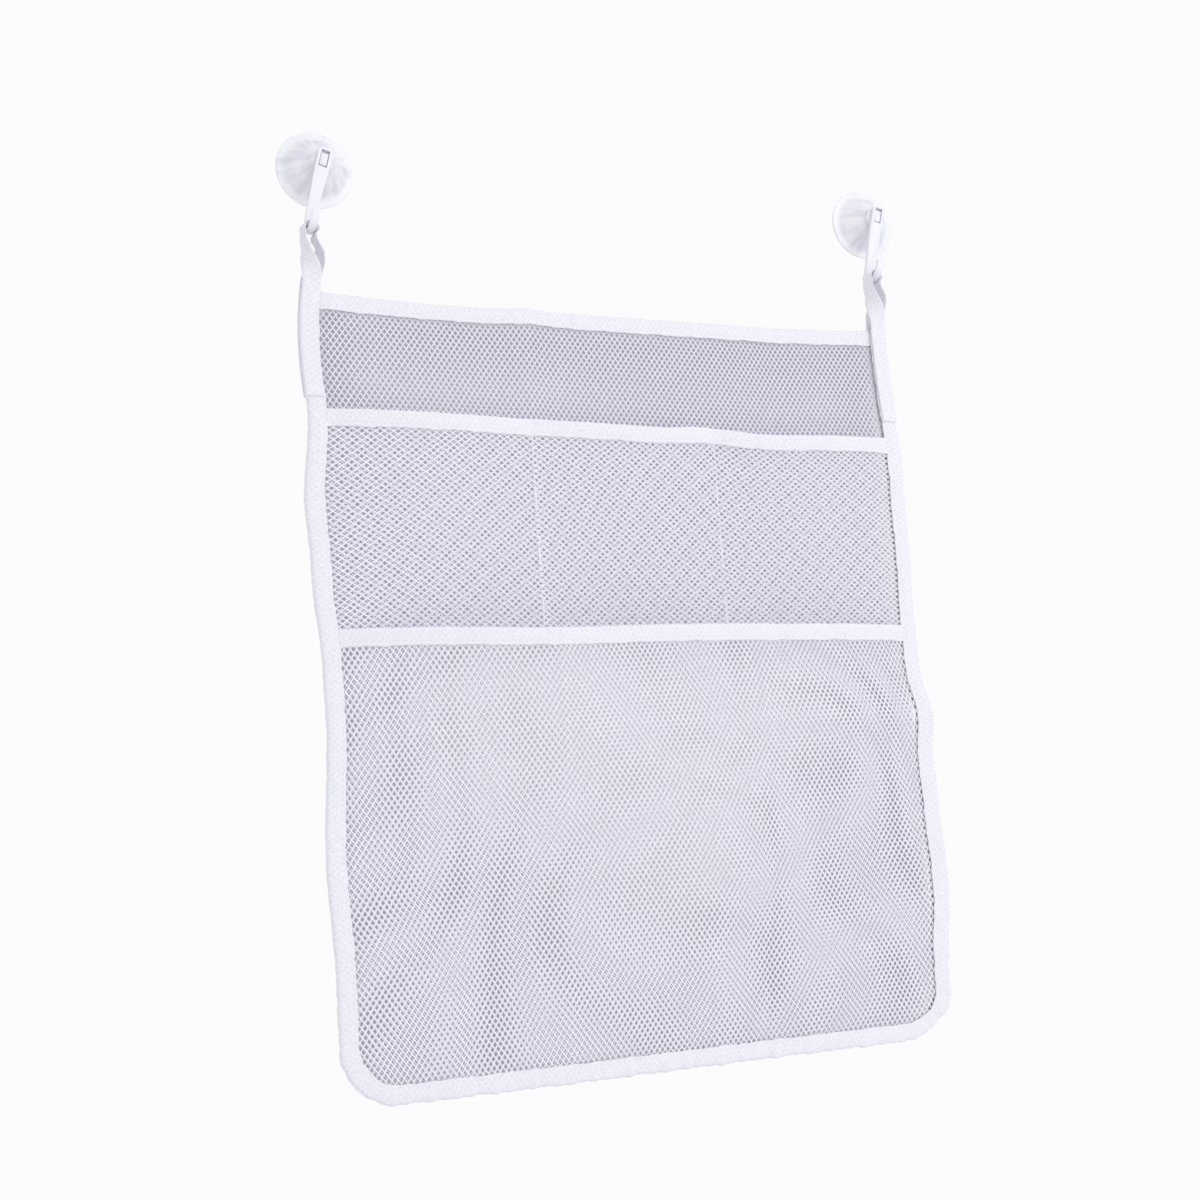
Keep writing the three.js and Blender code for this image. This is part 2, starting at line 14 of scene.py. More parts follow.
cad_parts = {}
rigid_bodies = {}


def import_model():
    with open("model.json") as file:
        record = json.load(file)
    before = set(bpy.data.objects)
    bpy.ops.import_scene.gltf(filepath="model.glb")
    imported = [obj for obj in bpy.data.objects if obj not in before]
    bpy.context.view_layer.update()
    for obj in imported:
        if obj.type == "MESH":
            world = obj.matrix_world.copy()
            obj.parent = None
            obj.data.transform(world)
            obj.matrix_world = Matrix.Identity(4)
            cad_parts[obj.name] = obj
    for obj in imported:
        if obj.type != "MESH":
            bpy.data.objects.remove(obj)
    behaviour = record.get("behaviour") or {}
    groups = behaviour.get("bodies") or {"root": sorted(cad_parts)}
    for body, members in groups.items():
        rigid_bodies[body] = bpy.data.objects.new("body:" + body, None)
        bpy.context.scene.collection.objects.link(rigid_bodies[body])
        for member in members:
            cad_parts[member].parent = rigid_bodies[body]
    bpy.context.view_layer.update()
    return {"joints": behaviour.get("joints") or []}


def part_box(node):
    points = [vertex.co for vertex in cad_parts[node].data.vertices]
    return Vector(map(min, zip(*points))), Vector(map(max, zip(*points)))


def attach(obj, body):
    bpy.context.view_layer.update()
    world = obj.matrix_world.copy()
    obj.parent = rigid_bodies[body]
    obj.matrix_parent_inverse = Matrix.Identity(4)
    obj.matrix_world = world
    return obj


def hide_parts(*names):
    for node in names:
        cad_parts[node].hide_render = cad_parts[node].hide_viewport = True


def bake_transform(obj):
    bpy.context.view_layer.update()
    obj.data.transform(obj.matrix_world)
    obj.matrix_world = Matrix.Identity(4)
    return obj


bpy.ops.object.select_all(action="SELECT")
bpy.ops.object.delete()
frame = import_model()

MM = 0.001
CM = 10 * MM

# Places and sizes that the frame gives
side_low, side_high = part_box("side_binding")
HALF_WIDTH = (side_high.x - side_low.x) / 2
BAG_HEIGHT = side_high.z - side_low.z
BAG_X = (side_low.x + side_high.x) / 2
BAG_Y = (side_low.y + side_high.y) / 2
BAG_TOP = side_high.z
SMALL_RIM_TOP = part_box("small_pocket_rim")[1].z - BAG_TOP
MAIN_RIM_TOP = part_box("main_pocket_rim")[1].z - BAG_TOP
SMALL_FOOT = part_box("small_pocket_panel")[0].z - BAG_TOP
DIVIDERS = [sum(corner.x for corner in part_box(f"divider_seam_{k}")) / 2 - BAG_X for k in (1, 2)]
THROAT = Vector(frame["joints"][0]["pos_m"])

# Bag
CORNER_RADIUS = 32 * MM
BINDING_WIDTH = 10.5 * MM
RIM_WIDTH = 9.9 * MM
TAPE_THICKNESS = 0.6 * MM
BINDING_HALF = 2.0 * MM  # half the thickness of each folded tape
RIM_HALF = 0.95 * MM
TOP_HALF = 1.3 * MM
LAYER = 0.85 * MM  # each layer of mesh lies this far from the bag's middle plane
TOP_LAYER = 0.3 * MM - LAYER  # and the top binding's middle here
SMALL_BOW = 7.5 * MM
MAIN_BOW = 15 * MM
BOW_INSET = 9.3 * MM  # a pocket's swell is full this far below its mouth and gone this far above its foot
POCKET_HALF = HALF_WIDTH - 10.3 * MM
POCKET_WIDTH = 2 * POCKET_HALF / 3

# Unevenness of the tapes
TAPE_STEP = 1.2 * MM
LIP_WAVE = 0.32 * MM
FOLD_WAVE = 0.36 * MM
FOLD_SWELL = 0.35 * MM
KNOT_PRINT = 0.08 * MM  # the mesh's knots show through the fold

# Knitted mesh
HOLE_PITCH = (3.4 * MM, 4.9 * MM)
HOLE_SHARE = (0.72, 0.66)  # the hole's width and height as parts of the pitch
YARN_THICKNESS = 0.5 * MM
MAIN_SKEW = math.radians(2.9)  # the big pocket's mesh is cut this far askew
MAIN_SLIP = -1.8 * MM
POCKET_MIDDLE = (MAIN_RIM_TOP - BAG_HEIGHT) / 2
NET_EDGE = 3.5 * MM  # the mesh ends this far inside the folded edge
NET_REACH = 1.1  # cells are laid out over this many times the bag's size, and cut
BACK_SPLIT = MAIN_RIM_TOP - 4 * MM  # the back's two stretches meet behind the big pocket's mouth

# Stitches
STITCH_LENGTH = 2.5 * MM
STITCH_STEP = 3.1 * MM
STITCH_WIDTH = 0.55 * MM
DIVIDER_WIDTH = 1.3 * MM  # the puckered line between two small pockets
STITCH_RISE = 0.3 * MM
STITCH_INSET = 1.6 * MM  # from the tape's free edge
STITCH_SINK = 0.12 * MM
DIVIDER_END = 4 * MM  # the puckered lines end this far above the strip's foot

# Hanging loops
LOOP_WIDTH = 10.5 * MM
LOOP_THICKNESS = 0.8 * MM
LOOP_TAIL = 60 * MM
LOOP_JOIN = 2 * MM  # the tails start to turn this far above the bag's top edge
LOOP_RELEASE = 14 * MM  # above that edge they stop following its waves over this length
LOOP_GAP = 0.25 * MM  # between a tail and the binding
LOOP_BEND = 2 * MM
LOOP_CLEAR = 3 * MM  # the turn of the tape ends this far below the hook
LOOP_PLAY = 0.4 * MM  # between the tape and the throat's floor
LOOP_SIDE_PLAY = 0.3 * MM  # between the tape and the hook's sides
LOOP_FOLLOW = 9 * MM  # below the hook the loop takes this length to leave the hook's lean
LOOP_BOW = 1.8 * MM  # the stiff tape bows out this far between the hook and the bag
LOOP_ROLL = 4.2 * MM  # the tape rolls up to this radius over the hook
LOOP_GATHER = 1.5 * MM  # and starts to roll this far below its bend
LOOP_FIRST_ROLL = 0.35  # the part of the roll that it has where the bend starts
LEAST_CURL = 1e-6  # a tape that curls no more than this is as good as flat

# Seams that hold the loops' tails
TAIL_SEAMS = (-LOOP_TAIL + 3 * MM, -4 * MM)  # heights of the two double rows
TAIL_ROW_GAP = 1.6 * MM
TAIL_STEP = 1.5 * MM
TAIL_STITCH = (1.3 * MM, 0, 1.1 * MM)  # each stitch runs aslant
TAIL_MARGINS = (1 * MM, 2 * MM)  # beside the first and the last stitch
TAIL_SINK = 0.1 * MM

# Suction cups and hooks
CUP_SIDES = 144
CUP_HOLLOW = 8.5 * MM
CUP_SEAL = 4.5 * MM  # width of the flat sealing rim
CUP_FLARE = 0.68  # how full the cone's curve is
CUP_CONE_START = 2.1 * MM  # height at which the cone leaves the rim
CUP_HUB_RADIUS = 6.5 * MM
CUP_HUB_RISE = 2.3 * MM  # from the cone's top to the hub's face
CUP_AXIS = 1.2 * MM  # radius of the innermost ring
CUP_RIBS = 15
CUP_RIB_HEIGHT = 0.55 * MM
CUP_RIB_MIDDLE = 15.5 * MM
CUP_RIB_REACH = 4.5 * MM
CUP_RIB_FLOOR = 1.5 * MM  # no rib lies lower than this
CUP_RIB_INSIDE = 0.62  # nor below this part of a straight cone
HUB_GAP = 0.3 * MM  # between the hub's face and the hook's back
HOOK_LEAN = math.radians(15.6)
HOOK_WIDTH = 8.2 * MM
HOOK_TIP_WIDTH = 4.6 * MM
HOOK_FOOT_WIDTH = 3.8 * MM
HOOK_TIP_ROUND = 2.0 * MM
HOOK_THICKNESS = 2.6 * MM
HOOK_TOP = 7 * MM
HOOK_TOP_ROUND = 2.4 * MM
HOOK_DROP = 40 * MM
HOOK_LIP = 4.5 * MM
HOOK_TIP = HOOK_LIP + HOOK_THICKNESS / 2 - HOOK_DROP
THROAT_RADIUS = 5 * MM
WINDOW_FOOT = -6.2 * MM  # where the strap starts to taper
WINDOW_RAIL = 1.6 * MM
NUB_SIZE = (4.4 * MM, 7.6 * MM)
NUB_RECESS = 0.4 * MM
EDGE_ROUND = 0.5 * MM  # on the moulded edges
TOUCH = 0.05 * MM  # points closer than this count as level


# How the bag hangs


def bump(x, centre, reach):
    """A soft swell round a centre."""
    return np.exp(-(((x - centre) / reach) ** 2))


def crease(x, fold):
    """A sharp fold line with soft flanks."""
    place, reach, height = fold
    return height * np.exp(-np.abs(x - place) / reach)


# Swells along the two sides: height, reach and how far the edge stands out, in millimetres
LEFT_WAVER = (
    (-20, 26, 3.8), (-48, 20, 2.2), (-118, 34, 5.4),
    (-168, 22, 2.6), (-312, 44, 3.6), (-405, 36, 1.0),
)
RIGHT_WAVER = (
    (-85, 34, 4.0), (-150, 40, 4.0), (-205, 24, 3.0), (-243, 20, 7.0),
    (-290, 44, 10.0), (-352, 36, 13.0), (-402, 24, 5.0), (-424, 14, 5.0),
)

# Swells along the two mouths: place from the middle, reach and rise, in millimetres
SMALL_MOUTH = ((-190, 90, 3.8), (-60, 50, 1.6), (56, 24, 3.4), (105, 60, -1.8))
MAIN_MOUTH = ((-60, 55, -1.7),)
MAIN_MOUTH_LIFT = 2.6 * MM
MAIN_MOUTH_TILT = 0.5 * MM
SMALL_MOUTH_REACH = 45 * MM  # how far below each mouth its swells are felt
MAIN_MOUTH_REACH = 60 * MM

# How far from its mouth and its foot the big pocket's slack front waves in full
SLACK_START = 70 * MM
SLACK_END = 60 * MM


def waver(x, swells):
    """How far an edge stands out at each place along it."""
    return sum(bump(x, place * MM, reach * MM) * out * MM for place, reach, out in swells)


# Sag of the top edge between its loops, down and to the wall
TOP_SAG = 2.6 * MM
TOP_SINK = 4.0 * MM
TOP_REACH = 50 * MM

# Folds from packing: place, reach and height
TOP_PEAK = (-55 * MM, 14 * MM, 1.8 * MM)
LEFT_FOLD = (-57 * MM, 16 * MM, 2.0 * MM)
RIGHT_FOLD = (112 * MM, 15 * MM, -1.8 * MM)
RIGHT_FOLD_SLANT = 0.11
CROSS_FOLD = (-245 * MM, 18 * MM, 2.4 * MM)

# Gentle waves all over, and a dent in the right side
RIPPLE = 1.6 * MM
DENT = 2.0 * MM
DENT_PLACE = -347 * MM
DENT_REACH = 16 * MM


def hang(u, v):
    """How the sewn bag departs from a flat sheet: along u, along v and out of its plane."""
    share = np.clip(u / HALF_WIDTH, -1, 1)
    leftward = ((1 - share) / 2) ** 5
    rightward = ((1 + share) / 2) ** 5
    along = rightward * waver(v, RIGHT_WAVER) - leftward * waver(v, LEFT_WAVER)
    inside = 1 - share**4
    near_top = np.exp(v / TOP_REACH)
    up = (crease(u, TOP_PEAK) - TOP_SAG * inside) * near_top
    upright = crease(u, LEFT_FOLD) + crease(u - RIGHT_FOLD_SLANT * v, RIGHT_FOLD)
    out = (upright - TOP_SINK * near_top) * inside + crease(v, CROSS_FOLD)
    out = out + RIPPLE * np.sin(u / (41 * MM) + 0.7) * np.sin(v / (63 * MM) + 0.4)
    out = out - DENT * rightward * bump(v, DENT_PLACE, DENT_REACH)
    return along, up, out


def drift(u, v, turn):
    """How the knit wanders in its own plane, nothing at the sewn sides."""
    inside = 1 - np.clip(np.abs(u) / HALF_WIDTH, 0, 1) ** 6
    x, y = u / MM, v / MM
    across = 0.9 * np.sin(x / 37 + y / 52 + turn) + 0.6 * np.sin(y / 23 - x / 61 + 2 * turn)
    down = 0.8 * np.sin(y / 44 - x / 48 + 1.3 * turn) + 0.5 * np.sin(x / 26 + 3 * turn)
    return across * inside * MM, down * inside * MM


def fade(v, top, foot):
    """Full at the pocket's mouth and nothing at its foot."""
    return 1 - np.clip((top - v) / (top - foot), 0, 1) ** 2.5


def flat_bow(u, v):
    """No rise and no swell."""
    return np.zeros_like(u), np.zeros_like(u)


def small_bow(u, v):
    """Three small pockets that stand open between the divider seams, their mouths a little uneven."""
    inside = np.clip(u + POCKET_HALF, 0, 2 * POCKET_HALF)
    arch = np.abs(np.sin(math.pi * inside / POCKET_WIDTH))
    out = SMALL_BOW * arch * fade(v, SMALL_RIM_TOP - BOW_INSET, SMALL_FOOT + BOW_INSET)
    return waver(u, SMALL_MOUTH) * bump(v, SMALL_RIM_TOP, SMALL_MOUTH_REACH), out


def main_bow(u, v):
    """One wide pocket, slack enough to swell unevenly."""
    share = np.minimum(np.abs(u) / POCKET_HALF, 1)
    swell = MAIN_BOW * (1 - share**3) * fade(v, MAIN_RIM_TOP - BOW_INSET, BOW_INSET - BAG_HEIGHT)
    below = np.clip((MAIN_RIM_TOP - v) / SLACK_START, 0, 1) * (1 - share**4)
    foot = np.clip((v + BAG_HEIGHT) / SLACK_END, 0, 1)
    x, y = u / MM, v / MM
    loose = 2.2 * np.sin(x / 29 + 1.1) * np.sin(y / 31 + 0.3) + 1.4 * np.sin((x + y) / 24)
    lifted = MAIN_MOUTH_LIFT - MAIN_MOUTH_TILT * u / HALF_WIDTH + waver(u, MAIN_MOUTH)
    return lifted * bump(v, MAIN_RIM_TOP, MAIN_MOUTH_REACH), swell + loose * MM * below * foot


def hung(bow, layer, u, v):
    """Where a point of a flat layer goes as the bag hangs."""
    along, up, out = hang(u, v)
    rise, swell = bow(u, v)
    return u + along, v + up + rise, layer + out + swell


def bag_points(u, v, w):
    """Points of the bag in the frame."""
    return np.stack([BAG_X + u, BAG_Y - w, BAG_TOP + v], axis=-1)


# Mesh helpers


def edit_all():
    """Enters edit mode on the active piece with all of it selected."""
    bpy.ops.object.mode_set(mode="EDIT")
    bpy.ops.mesh.select_all(action="SELECT")


def leave_edit():
    bpy.ops.object.mode_set(mode="OBJECT")


def deselect():
    bpy.ops.object.select_all(action="DESELECT")


def only(piece):
    """Makes a piece the one selected object."""
    deselect()
    piece.select_set(True)
    bpy.context.view_layer.objects.active = piece


def new_piece(name, points, faces):
    mesh = bpy.data.meshes.new(name)
    mesh.from_pydata(points.tolist(), [], faces)
    piece = bpy.data.objects.new(name, mesh)
    bpy.context.scene.collection.objects.link(piece)
    return piece


def face_outwards(piece):
    only(piece)
    edit_all()
    bpy.ops.mesh.normals_make_consistent(inside=False)
    leave_edit()


def pick(piece, kind, chosen):
    """Enters edit mode with only the chosen faces or edges selected."""
    only(piece)
    bpy.ops.object.mode_set(mode="EDIT")
    bpy.ops.mesh.select_mode(type=kind)
    bpy.ops.mesh.select_all(action="DESELECT")
    leave_edit()
    parts = piece.data.polygons if kind == "FACE" else piece.data.edges
    for part in parts:
        part.select = chosen(part)
    bpy.ops.object.mode_set(mode="EDIT")


def smooth(piece, angle):
    only(piece)
    bpy.ops.object.shade_smooth_by_angle(angle=math.radians(angle))


def all_smooth(piece):
    piece.data.polygons.foreach_set("use_smooth", np.ones(len(piece.data.polygons), bool))


def travelled(points):
    """The length of a line of points up to each of them."""
    steps = np.linalg.norm(np.diff(points, axis=0), axis=1)
    return np.concatenate([[0], np.cumsum(steps)])


def travelled_round(ring):
    """The same round a closed ring, back to its start."""
    return travelled(np.concatenate([ring, ring[:1]]))


def unit(vectors):
    return vectors / np.linalg.norm(vectors, axis=1, keepdims=True)


def square_to(along, out):
    """The outward directions, made square to the directions along."""
    return unit(out - along * np.sum(out * along, 1, keepdims=True))


def dress(piece, material, body, slot, *nodes):
    """Gives a finished piece its material and its body, and hides the solids that it stands for."""
    piece.data.materials.clear()
    piece.data.materials.append(material)
    if body:
        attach(piece, body)
    if nodes:
        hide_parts(*nodes)


# Materials


def new_material(name, color, roughness):
    material = bpy.data.materials.new(name)
    material.use_nodes = True
    shader = material.node_tree.nodes["Principled BSDF"]
    shader.inputs["Base Color"].default_value = (*color, 1)
    shader.inputs["Roughness"].default_value = roughness
    return material, material.node_tree, shader


def link(tree, source, target):
    tree.links.new(source, target)


def place_of(tree):
    return tree.nodes.new("ShaderNodeTexCoord").outputs["Object"]


def noise(tree, vector, scale, detail=2.0):
    texture = tree.nodes.new("ShaderNodeTexNoise")
    texture.inputs["Scale"].default_value = scale
    texture.inputs["Detail"].default_value = detail
    link(tree, vector, texture.inputs["Vector"])
    return texture.outputs["Fac"]


def ribs(tree, vector, direction, scale, distortion=0.0):
    texture = tree.nodes.new("ShaderNodeTexWave")
    texture.bands_direction = direction
    texture.inputs["Scale"].default_value = scale
    texture.inputs["Distortion"].default_value = distortion
    link(tree, vector, texture.inputs["Vector"])
    return texture.outputs["Fac"]


def tinted(tree, factor, dark, pale):
    ramp = tree.nodes.new("ShaderNodeValToRGB")
    ramp.color_ramp.elements[0].color = (*dark, 1)
    ramp.color_ramp.elements[1].color = (*pale, 1)
    link(tree, factor, ramp.inputs["Fac"])
    return ramp.outputs["Color"]


def combined(tree, operation, *values):
    """One operation on values that are sockets or plain numbers."""
    node = tree.nodes.new("ShaderNodeMath")
    node.operation = operation
    for socket, value in zip(node.inputs, values):
        if isinstance(value, float):
            socket.default_value = value
        else:
            link(tree, value, socket)
    return node.outputs[0]


def ranged(tree, value, start, end):
    """0 where a value is at the start of a range and 1 at its end."""
    node = tree.nodes.new("ShaderNodeMapRange")
    node.inputs["From Min"].default_value = start
    node.inputs["From Max"].default_value = end
    link(tree, value, node.inputs["Value"])
    return node.outputs["Result"]


def vector_math(tree, operation, source, value=None):
    """A vector changed by one operation, with a fixed second vector where it takes one."""
    node = tree.nodes.new("ShaderNodeVectorMath")
    node.operation = operation
    link(tree, source, node.inputs[0])
    if value is not None:
        node.inputs[1].default_value = value
    return node.outputs["Value" if operation == "LENGTH" else "Vector"]


def bumped(tree, height, strength, distance, below=None):
    node = tree.nodes.new("ShaderNodeBump")
    node.inputs["Strength"].default_value = strength
    node.inputs["Distance"].default_value = distance
    link(tree, height, node.inputs["Height"])
    if below is not None:
        link(tree, below, node.inputs["Normal"])
    return node.outputs["Normal"]


def knitted_mesh(name, dark, pale):
    """White polyester yarn with a faint lilac cast, in the colours passed in: a darker copy paints shade on
    the back's mesh, a brighter copy paints light on the pockets' mesh.
    """
    material, tree, shader = new_material(name, pale, 0.72)
    place = place_of(tree)
    shade = noise(tree, place, 260)
    link(tree, tinted(tree, shade, dark, pale), shader.inputs["Base Color"])
    fibre = noise(tree, place, 2600, 3)
    link(tree, bumped(tree, fibre, 0.35, 0.2 * MM), shader.inputs["Normal"])
    shader.inputs["Sheen Weight"].default_value = 0.15
    return material


def woven_tape():
    """White ribbed tape with the mesh inside it faintly in sight, drawn in the tape's own centimetres."""
    material, tree, shader = new_material("woven_tape", (0.87, 0.865, 0.94), 0.8)
    along = tree.nodes.new("ShaderNodeTexCoord").outputs["UV"]
    weave = noise(tree, place_of(tree), 1100, 3)
    diamonds = tree.nodes.new("ShaderNodeMapping")
    diamonds.inputs["Scale"].default_value = (CM / HOLE_PITCH[0], CM / HOLE_PITCH[1], 1)
    diamonds.inputs["Rotation"].default_value = (0, 0, math.pi / 4)
    link(tree, along, diamonds.inputs["Vector"])
    strands = [ribs(tree, diamonds.outputs["Vector"], way, 0.444, 1.2) for way in "XY"]
    shade = combined(tree, "MULTIPLY_ADD", combined(tree, "MULTIPLY", *strands), -0.2, weave)
    tint = tinted(tree, shade, (0.70, 0.695, 0.78), (0.865, 0.86, 0.895))
    tint.node.color_ramp.elements[0].position = 0.08
    tint.node.color_ramp.elements[1].position = 0.62
    link(tree, tint, shader.inputs["Base Color"])
    rib = ribs(tree, along, "X", 3.6, 0.4)
    yarn = ribs(tree, along, "Y", 5.5, 0.6)
    ribbed = bumped(tree, rib, 0.5, 0.12 * MM)
    link(tree, bumped(tree, yarn, 0.35, 0.08 * MM, ribbed), shader.inputs["Normal"])
    shader.inputs["Sheen Weight"].default_value = 0.2
    return material


def sewing_thread():
    """White twisted thread."""
    material, tree, shader = new_material("sewing_thread", (0.9, 0.895, 0.95), 0.6)
    place = place_of(tree)
    twist = ribs(tree, place, "DIAGONAL", 900, 1.0)
    link(tree, bumped(tree, twist, 0.4, 0.1 * MM), shader.inputs["Normal"])
    shade = noise(tree, place, 600)
    link(tree, tinted(tree, shade, (0.84, 0.835, 0.9), (0.93, 0.925, 0.97)), shader.inputs["Base Color"])
    return material


def cup_vinyl():
    """Milky soft vinyl that lets some light through, with creases that run out from its middle. The
    creases' pale streaks are painted highlights, and the paler rim with a darker middle is painted shade
    towards the hub.
    """
    material, tree, shader = new_material("cup_vinyl", (0.9, 0.9, 0.95), 0.2)
    place = place_of(tree)
    around = tree.nodes.new("ShaderNodeAttribute")
    around.attribute_name = "round"
    stretch = tree.nodes.new("ShaderNodeMapping")
    stretch.inputs["Scale"].default_value = (4.2, 4.2, 0.9)
    link(tree, around.outputs["Vector"], stretch.inputs["Vector"])
    # painted highlights: pale streaks along the creases; the same streaks also shape the creases' bump
    creases_and_highlights = noise(tree, stretch.outputs["Vector"], 1.0, 1.5)
    milk = combined(tree, "MULTIPLY_ADD", creases_and_highlights, 0.7, noise(tree, place, 75, 2))
    share = tree.nodes.new("ShaderNodeSeparateXYZ")
    link(tree, around.outputs["Vector"], share.inputs[0])
    # painted shade: the colour is paler at the rim and darker in towards the hub
    rim = ranged(tree, share.outputs["Z"], 0.70, 0.90)
    rim.node.inputs["To Max"].default_value = 0.22
    pale = combined(tree, "ADD", milk, rim)
    tint = tinted(tree, pale, (0.76, 0.755, 0.835), (0.96, 0.96, 0.99))
    tint.node.color_ramp.elements[0].position = 0.62
    link(tree, tint, shader.inputs["Base Color"])
    link(tree, bumped(tree, creases_and_highlights, 0.15, 0.4 * MM), shader.inputs["Normal"])
    shader.inputs["Transmission Weight"].default_value = 0.15
    shader.inputs["IOR"].default_value = 1.5
    return material


def hook_plastic():
    """Glossy white moulding."""
    material, tree, shader = new_material("hook_plastic", (0.9, 0.9, 0.93), 0.22)
    place = place_of(tree)
    sheen = noise(tree, place, 420, 2)
    link(tree, bumped(tree, sheen, 0.06, 0.2 * MM), shader.inputs["Normal"])
    tint = tinted(tree, noise(tree, place, 130), (0.78, 0.78, 0.84), (0.82, 0.82, 0.87))
    link(tree, tint, shader.inputs["Base Color"])
    return material


# Knitted mesh panels


def net_panel(name, pitch, skew, slip, inside, bow, layer, turn):
    """A diamond net of closed yarns, of the cells that lie inside the panel's cut."""
    half_u, half_v = pitch[0] / 2, pitch[1] / 2
    reach_i = int(NET_REACH * HALF_WIDTH / half_u) + 1
    reach_j = int(NET_REACH * BAG_HEIGHT / half_v) + 1

    def askew(u, v):
        """Turns the knit a little about the middle of the big pocket and slips it sideways."""
        w = v - POCKET_MIDDLE
        turned = u * math.sin(skew) + w * math.cos(skew)
        return u * math.cos(skew) - w * math.sin(skew) + slip, turned + POCKET_MIDDLE

    columns = np.arange(-reach_i, reach_i + 1)
    rows = np.arange(-reach_j, reach_j // 8)
    i, j = np.meshgrid(columns, rows, indexing="ij")
    cell = ((i + j) % 2 == 0) & inside(*askew(i * half_u, j * half_v))
    ci, cj = i[cell], j[cell]
    steps = ((1, 0), (0, 1), (-1, 0), (0, -1))
    knots = np.stack([np.stack([ci + di, cj + dj], -1) for di, dj in steps], 1)
    used, corner = np.unique(knots.reshape(-1, 2), axis=0, return_inverse=True)
    corner = corner.reshape(-1, 4)
    knot_u, knot_v = used[:, 0] * half_u, used[:, 1] * half_v
    hole = np.array(steps) * np.array([half_u * HOLE_SHARE[0], half_v * HOLE_SHARE[1]])
    hole_u = (ci[:, None] * half_u + hole[None, :, 0]).ravel()
    hole_v = (cj[:, None] * half_v + hole[None, :, 1]).ravel()
    u, v = askew(np.concatenate([knot_u, hole_u]), np.concatenate([knot_v, hole_v]))
    across, down = drift(u, v, turn)
    u, v, w = hung(bow, layer, u, v)
    u, v = u + across, v + down
    count = len(used)
    front = bag_points(u[:count], v[:count], w[:count] + YARN_THICKNESS / 2)
    back = bag_points(u[:count], v[:count], w[:count] - YARN_THICKNESS / 2)
    rim = bag_points(u[count:], v[count:], w[count:])
    points = np.concatenate([front, back, rim])

    edge = 2 * count + np.arange(len(ci) * 4).reshape(-1, 4)
    after = np.roll(corner, -1, 1)
    edge_after = np.roll(edge, -1, 1)
    fore = np.stack([corner, after, edge_after, edge], -1).reshape(-1, 4)
    rear = np.stack([after + count, corner + count, edge, edge_after], -1).reshape(-1, 4)
    strands = np.stack([corner, after], -1).reshape(-1, 2)
    key = np.sort(strands, 1)
    _, place, times = np.unique(key, axis=0, return_inverse=True, return_counts=True)
    lone = strands[times[place.ravel()] == 1]
    closing = np.stack([lone[:, 1], lone[:, 0], lone[:, 0] + count, lone[:, 1] + count], -1)
    piece = new_piece(name, points, np.concatenate([fore, rear, closing]).tolist())
    all_smooth(piece)
    return piece


def panel_cut(top, foot, round_foot):
    """Tells which cells lie inside a panel's cut, with round corners where it ends at the bag's foot."""
    side = HALF_WIDTH - NET_EDGE
    radius = CORNER_RADIUS - NET_EDGE

    def inside(u, v):
        held = (np.abs(u) < side) & (v < top) & (v > foot)
        if not round_foot:
            return held
        du = np.abs(u) - (side - radius)
        dv = (foot + radius) - v
        return held & ~((du > 0) & (dv > 0) & (np.hypot(du, dv) > radius))

    return inside


def make_panels(shaded_back_yarn, lit_pocket_yarn):
    """The back in two stretches, the small pockets' strip and the big pocket's front."""
    foot = NET_EDGE - BAG_HEIGHT
    small_top, main_top = SMALL_RIM_TOP - NET_EDGE, MAIN_RIM_TOP - NET_EDGE
    rows = (
        ("back_mesh_upper", "back_panel", -NET_EDGE, BACK_SPLIT, flat_bow, 0.4),
        ("back_mesh_lower", "back_panel", BACK_SPLIT, foot, flat_bow, 0.4),
        ("small_pocket_mesh", "small_pocket_panel", small_top, SMALL_FOOT, small_bow, 2.1),
        ("main_pocket_mesh", "main_pocket_panel", main_top, foot, main_bow, 1.2),
    )
    for name, node, top, low, bow, turn in rows:
        pitch = HOLE_PITCH[::-1] if bow is small_bow else HOLE_PITCH
        skew, slip = (MAIN_SKEW, MAIN_SLIP) if bow is main_bow else (0.0, 0.0)
        # painted light: the back takes the darker, shaded copy of the yarn and the pockets take the
        # brighter, lit copy
        yarn, layer = (shaded_back_yarn, -LAYER) if bow is flat_bow else (lit_pocket_yarn, LAYER)
        cut = panel_cut(top, low, low == foot)
        panel = net_panel(name, pitch, skew, slip, cut, bow, layer, turn)
        dress(panel, yarn, "bag", "diamond_mesh", node)


# Tapes


def wobble(s, seed):
    """A smooth unevenness along a length, between about -1 and 1."""
    waves = ((7.3, 0.0), (11.9, 1.7), (19.7, 0.6), (33.1, 2.9))
    return sum(np.sin(s / (length * MM) * 2 * math.pi + phase + seed) for length, phase in waves) / 2.6


def side_path(s):
    """The bag's outline from its top left corner round its foot to its top right corner."""
    straight = BAG_HEIGHT - CORNER_RADIUS
    arc = CORNER_RADIUS * math.pi / 2
    level = 2 * (HALF_WIDTH - CORNER_RADIUS)
    turn_left = np.clip((s - straight) / CORNER_RADIUS, 0, math.pi / 2)
    turn_right = np.clip((s - straight - arc - level) / CORNER_RADIUS, 0, math.pi / 2)
    turn = turn_left + turn_right
    down = np.minimum(s, straight)
    run = np.clip(s - straight - arc, 0, level)
    up = np.maximum(s - straight - 2 * arc - level, 0)
    u = -HALF_WIDTH + CORNER_RADIUS * (1 - np.cos(turn_left)) + run + CORNER_RADIUS * np.sin(turn_right)
    v = -down - CORNER_RADIUS * np.sin(turn_left) + CORNER_RADIUS * (1 - np.cos(turn_right)) + up
    return u, v, np.cos(turn), np.sin(turn)


SIDE_LENGTH = 2 * (BAG_HEIGHT - CORNER_RADIUS) + math.pi * CORNER_RADIUS + 2 * (HALF_WIDTH - CORNER_RADIUS)
RIM_REACH = HALF_WIDTH - BINDING_WIDTH + 0.2 * MM


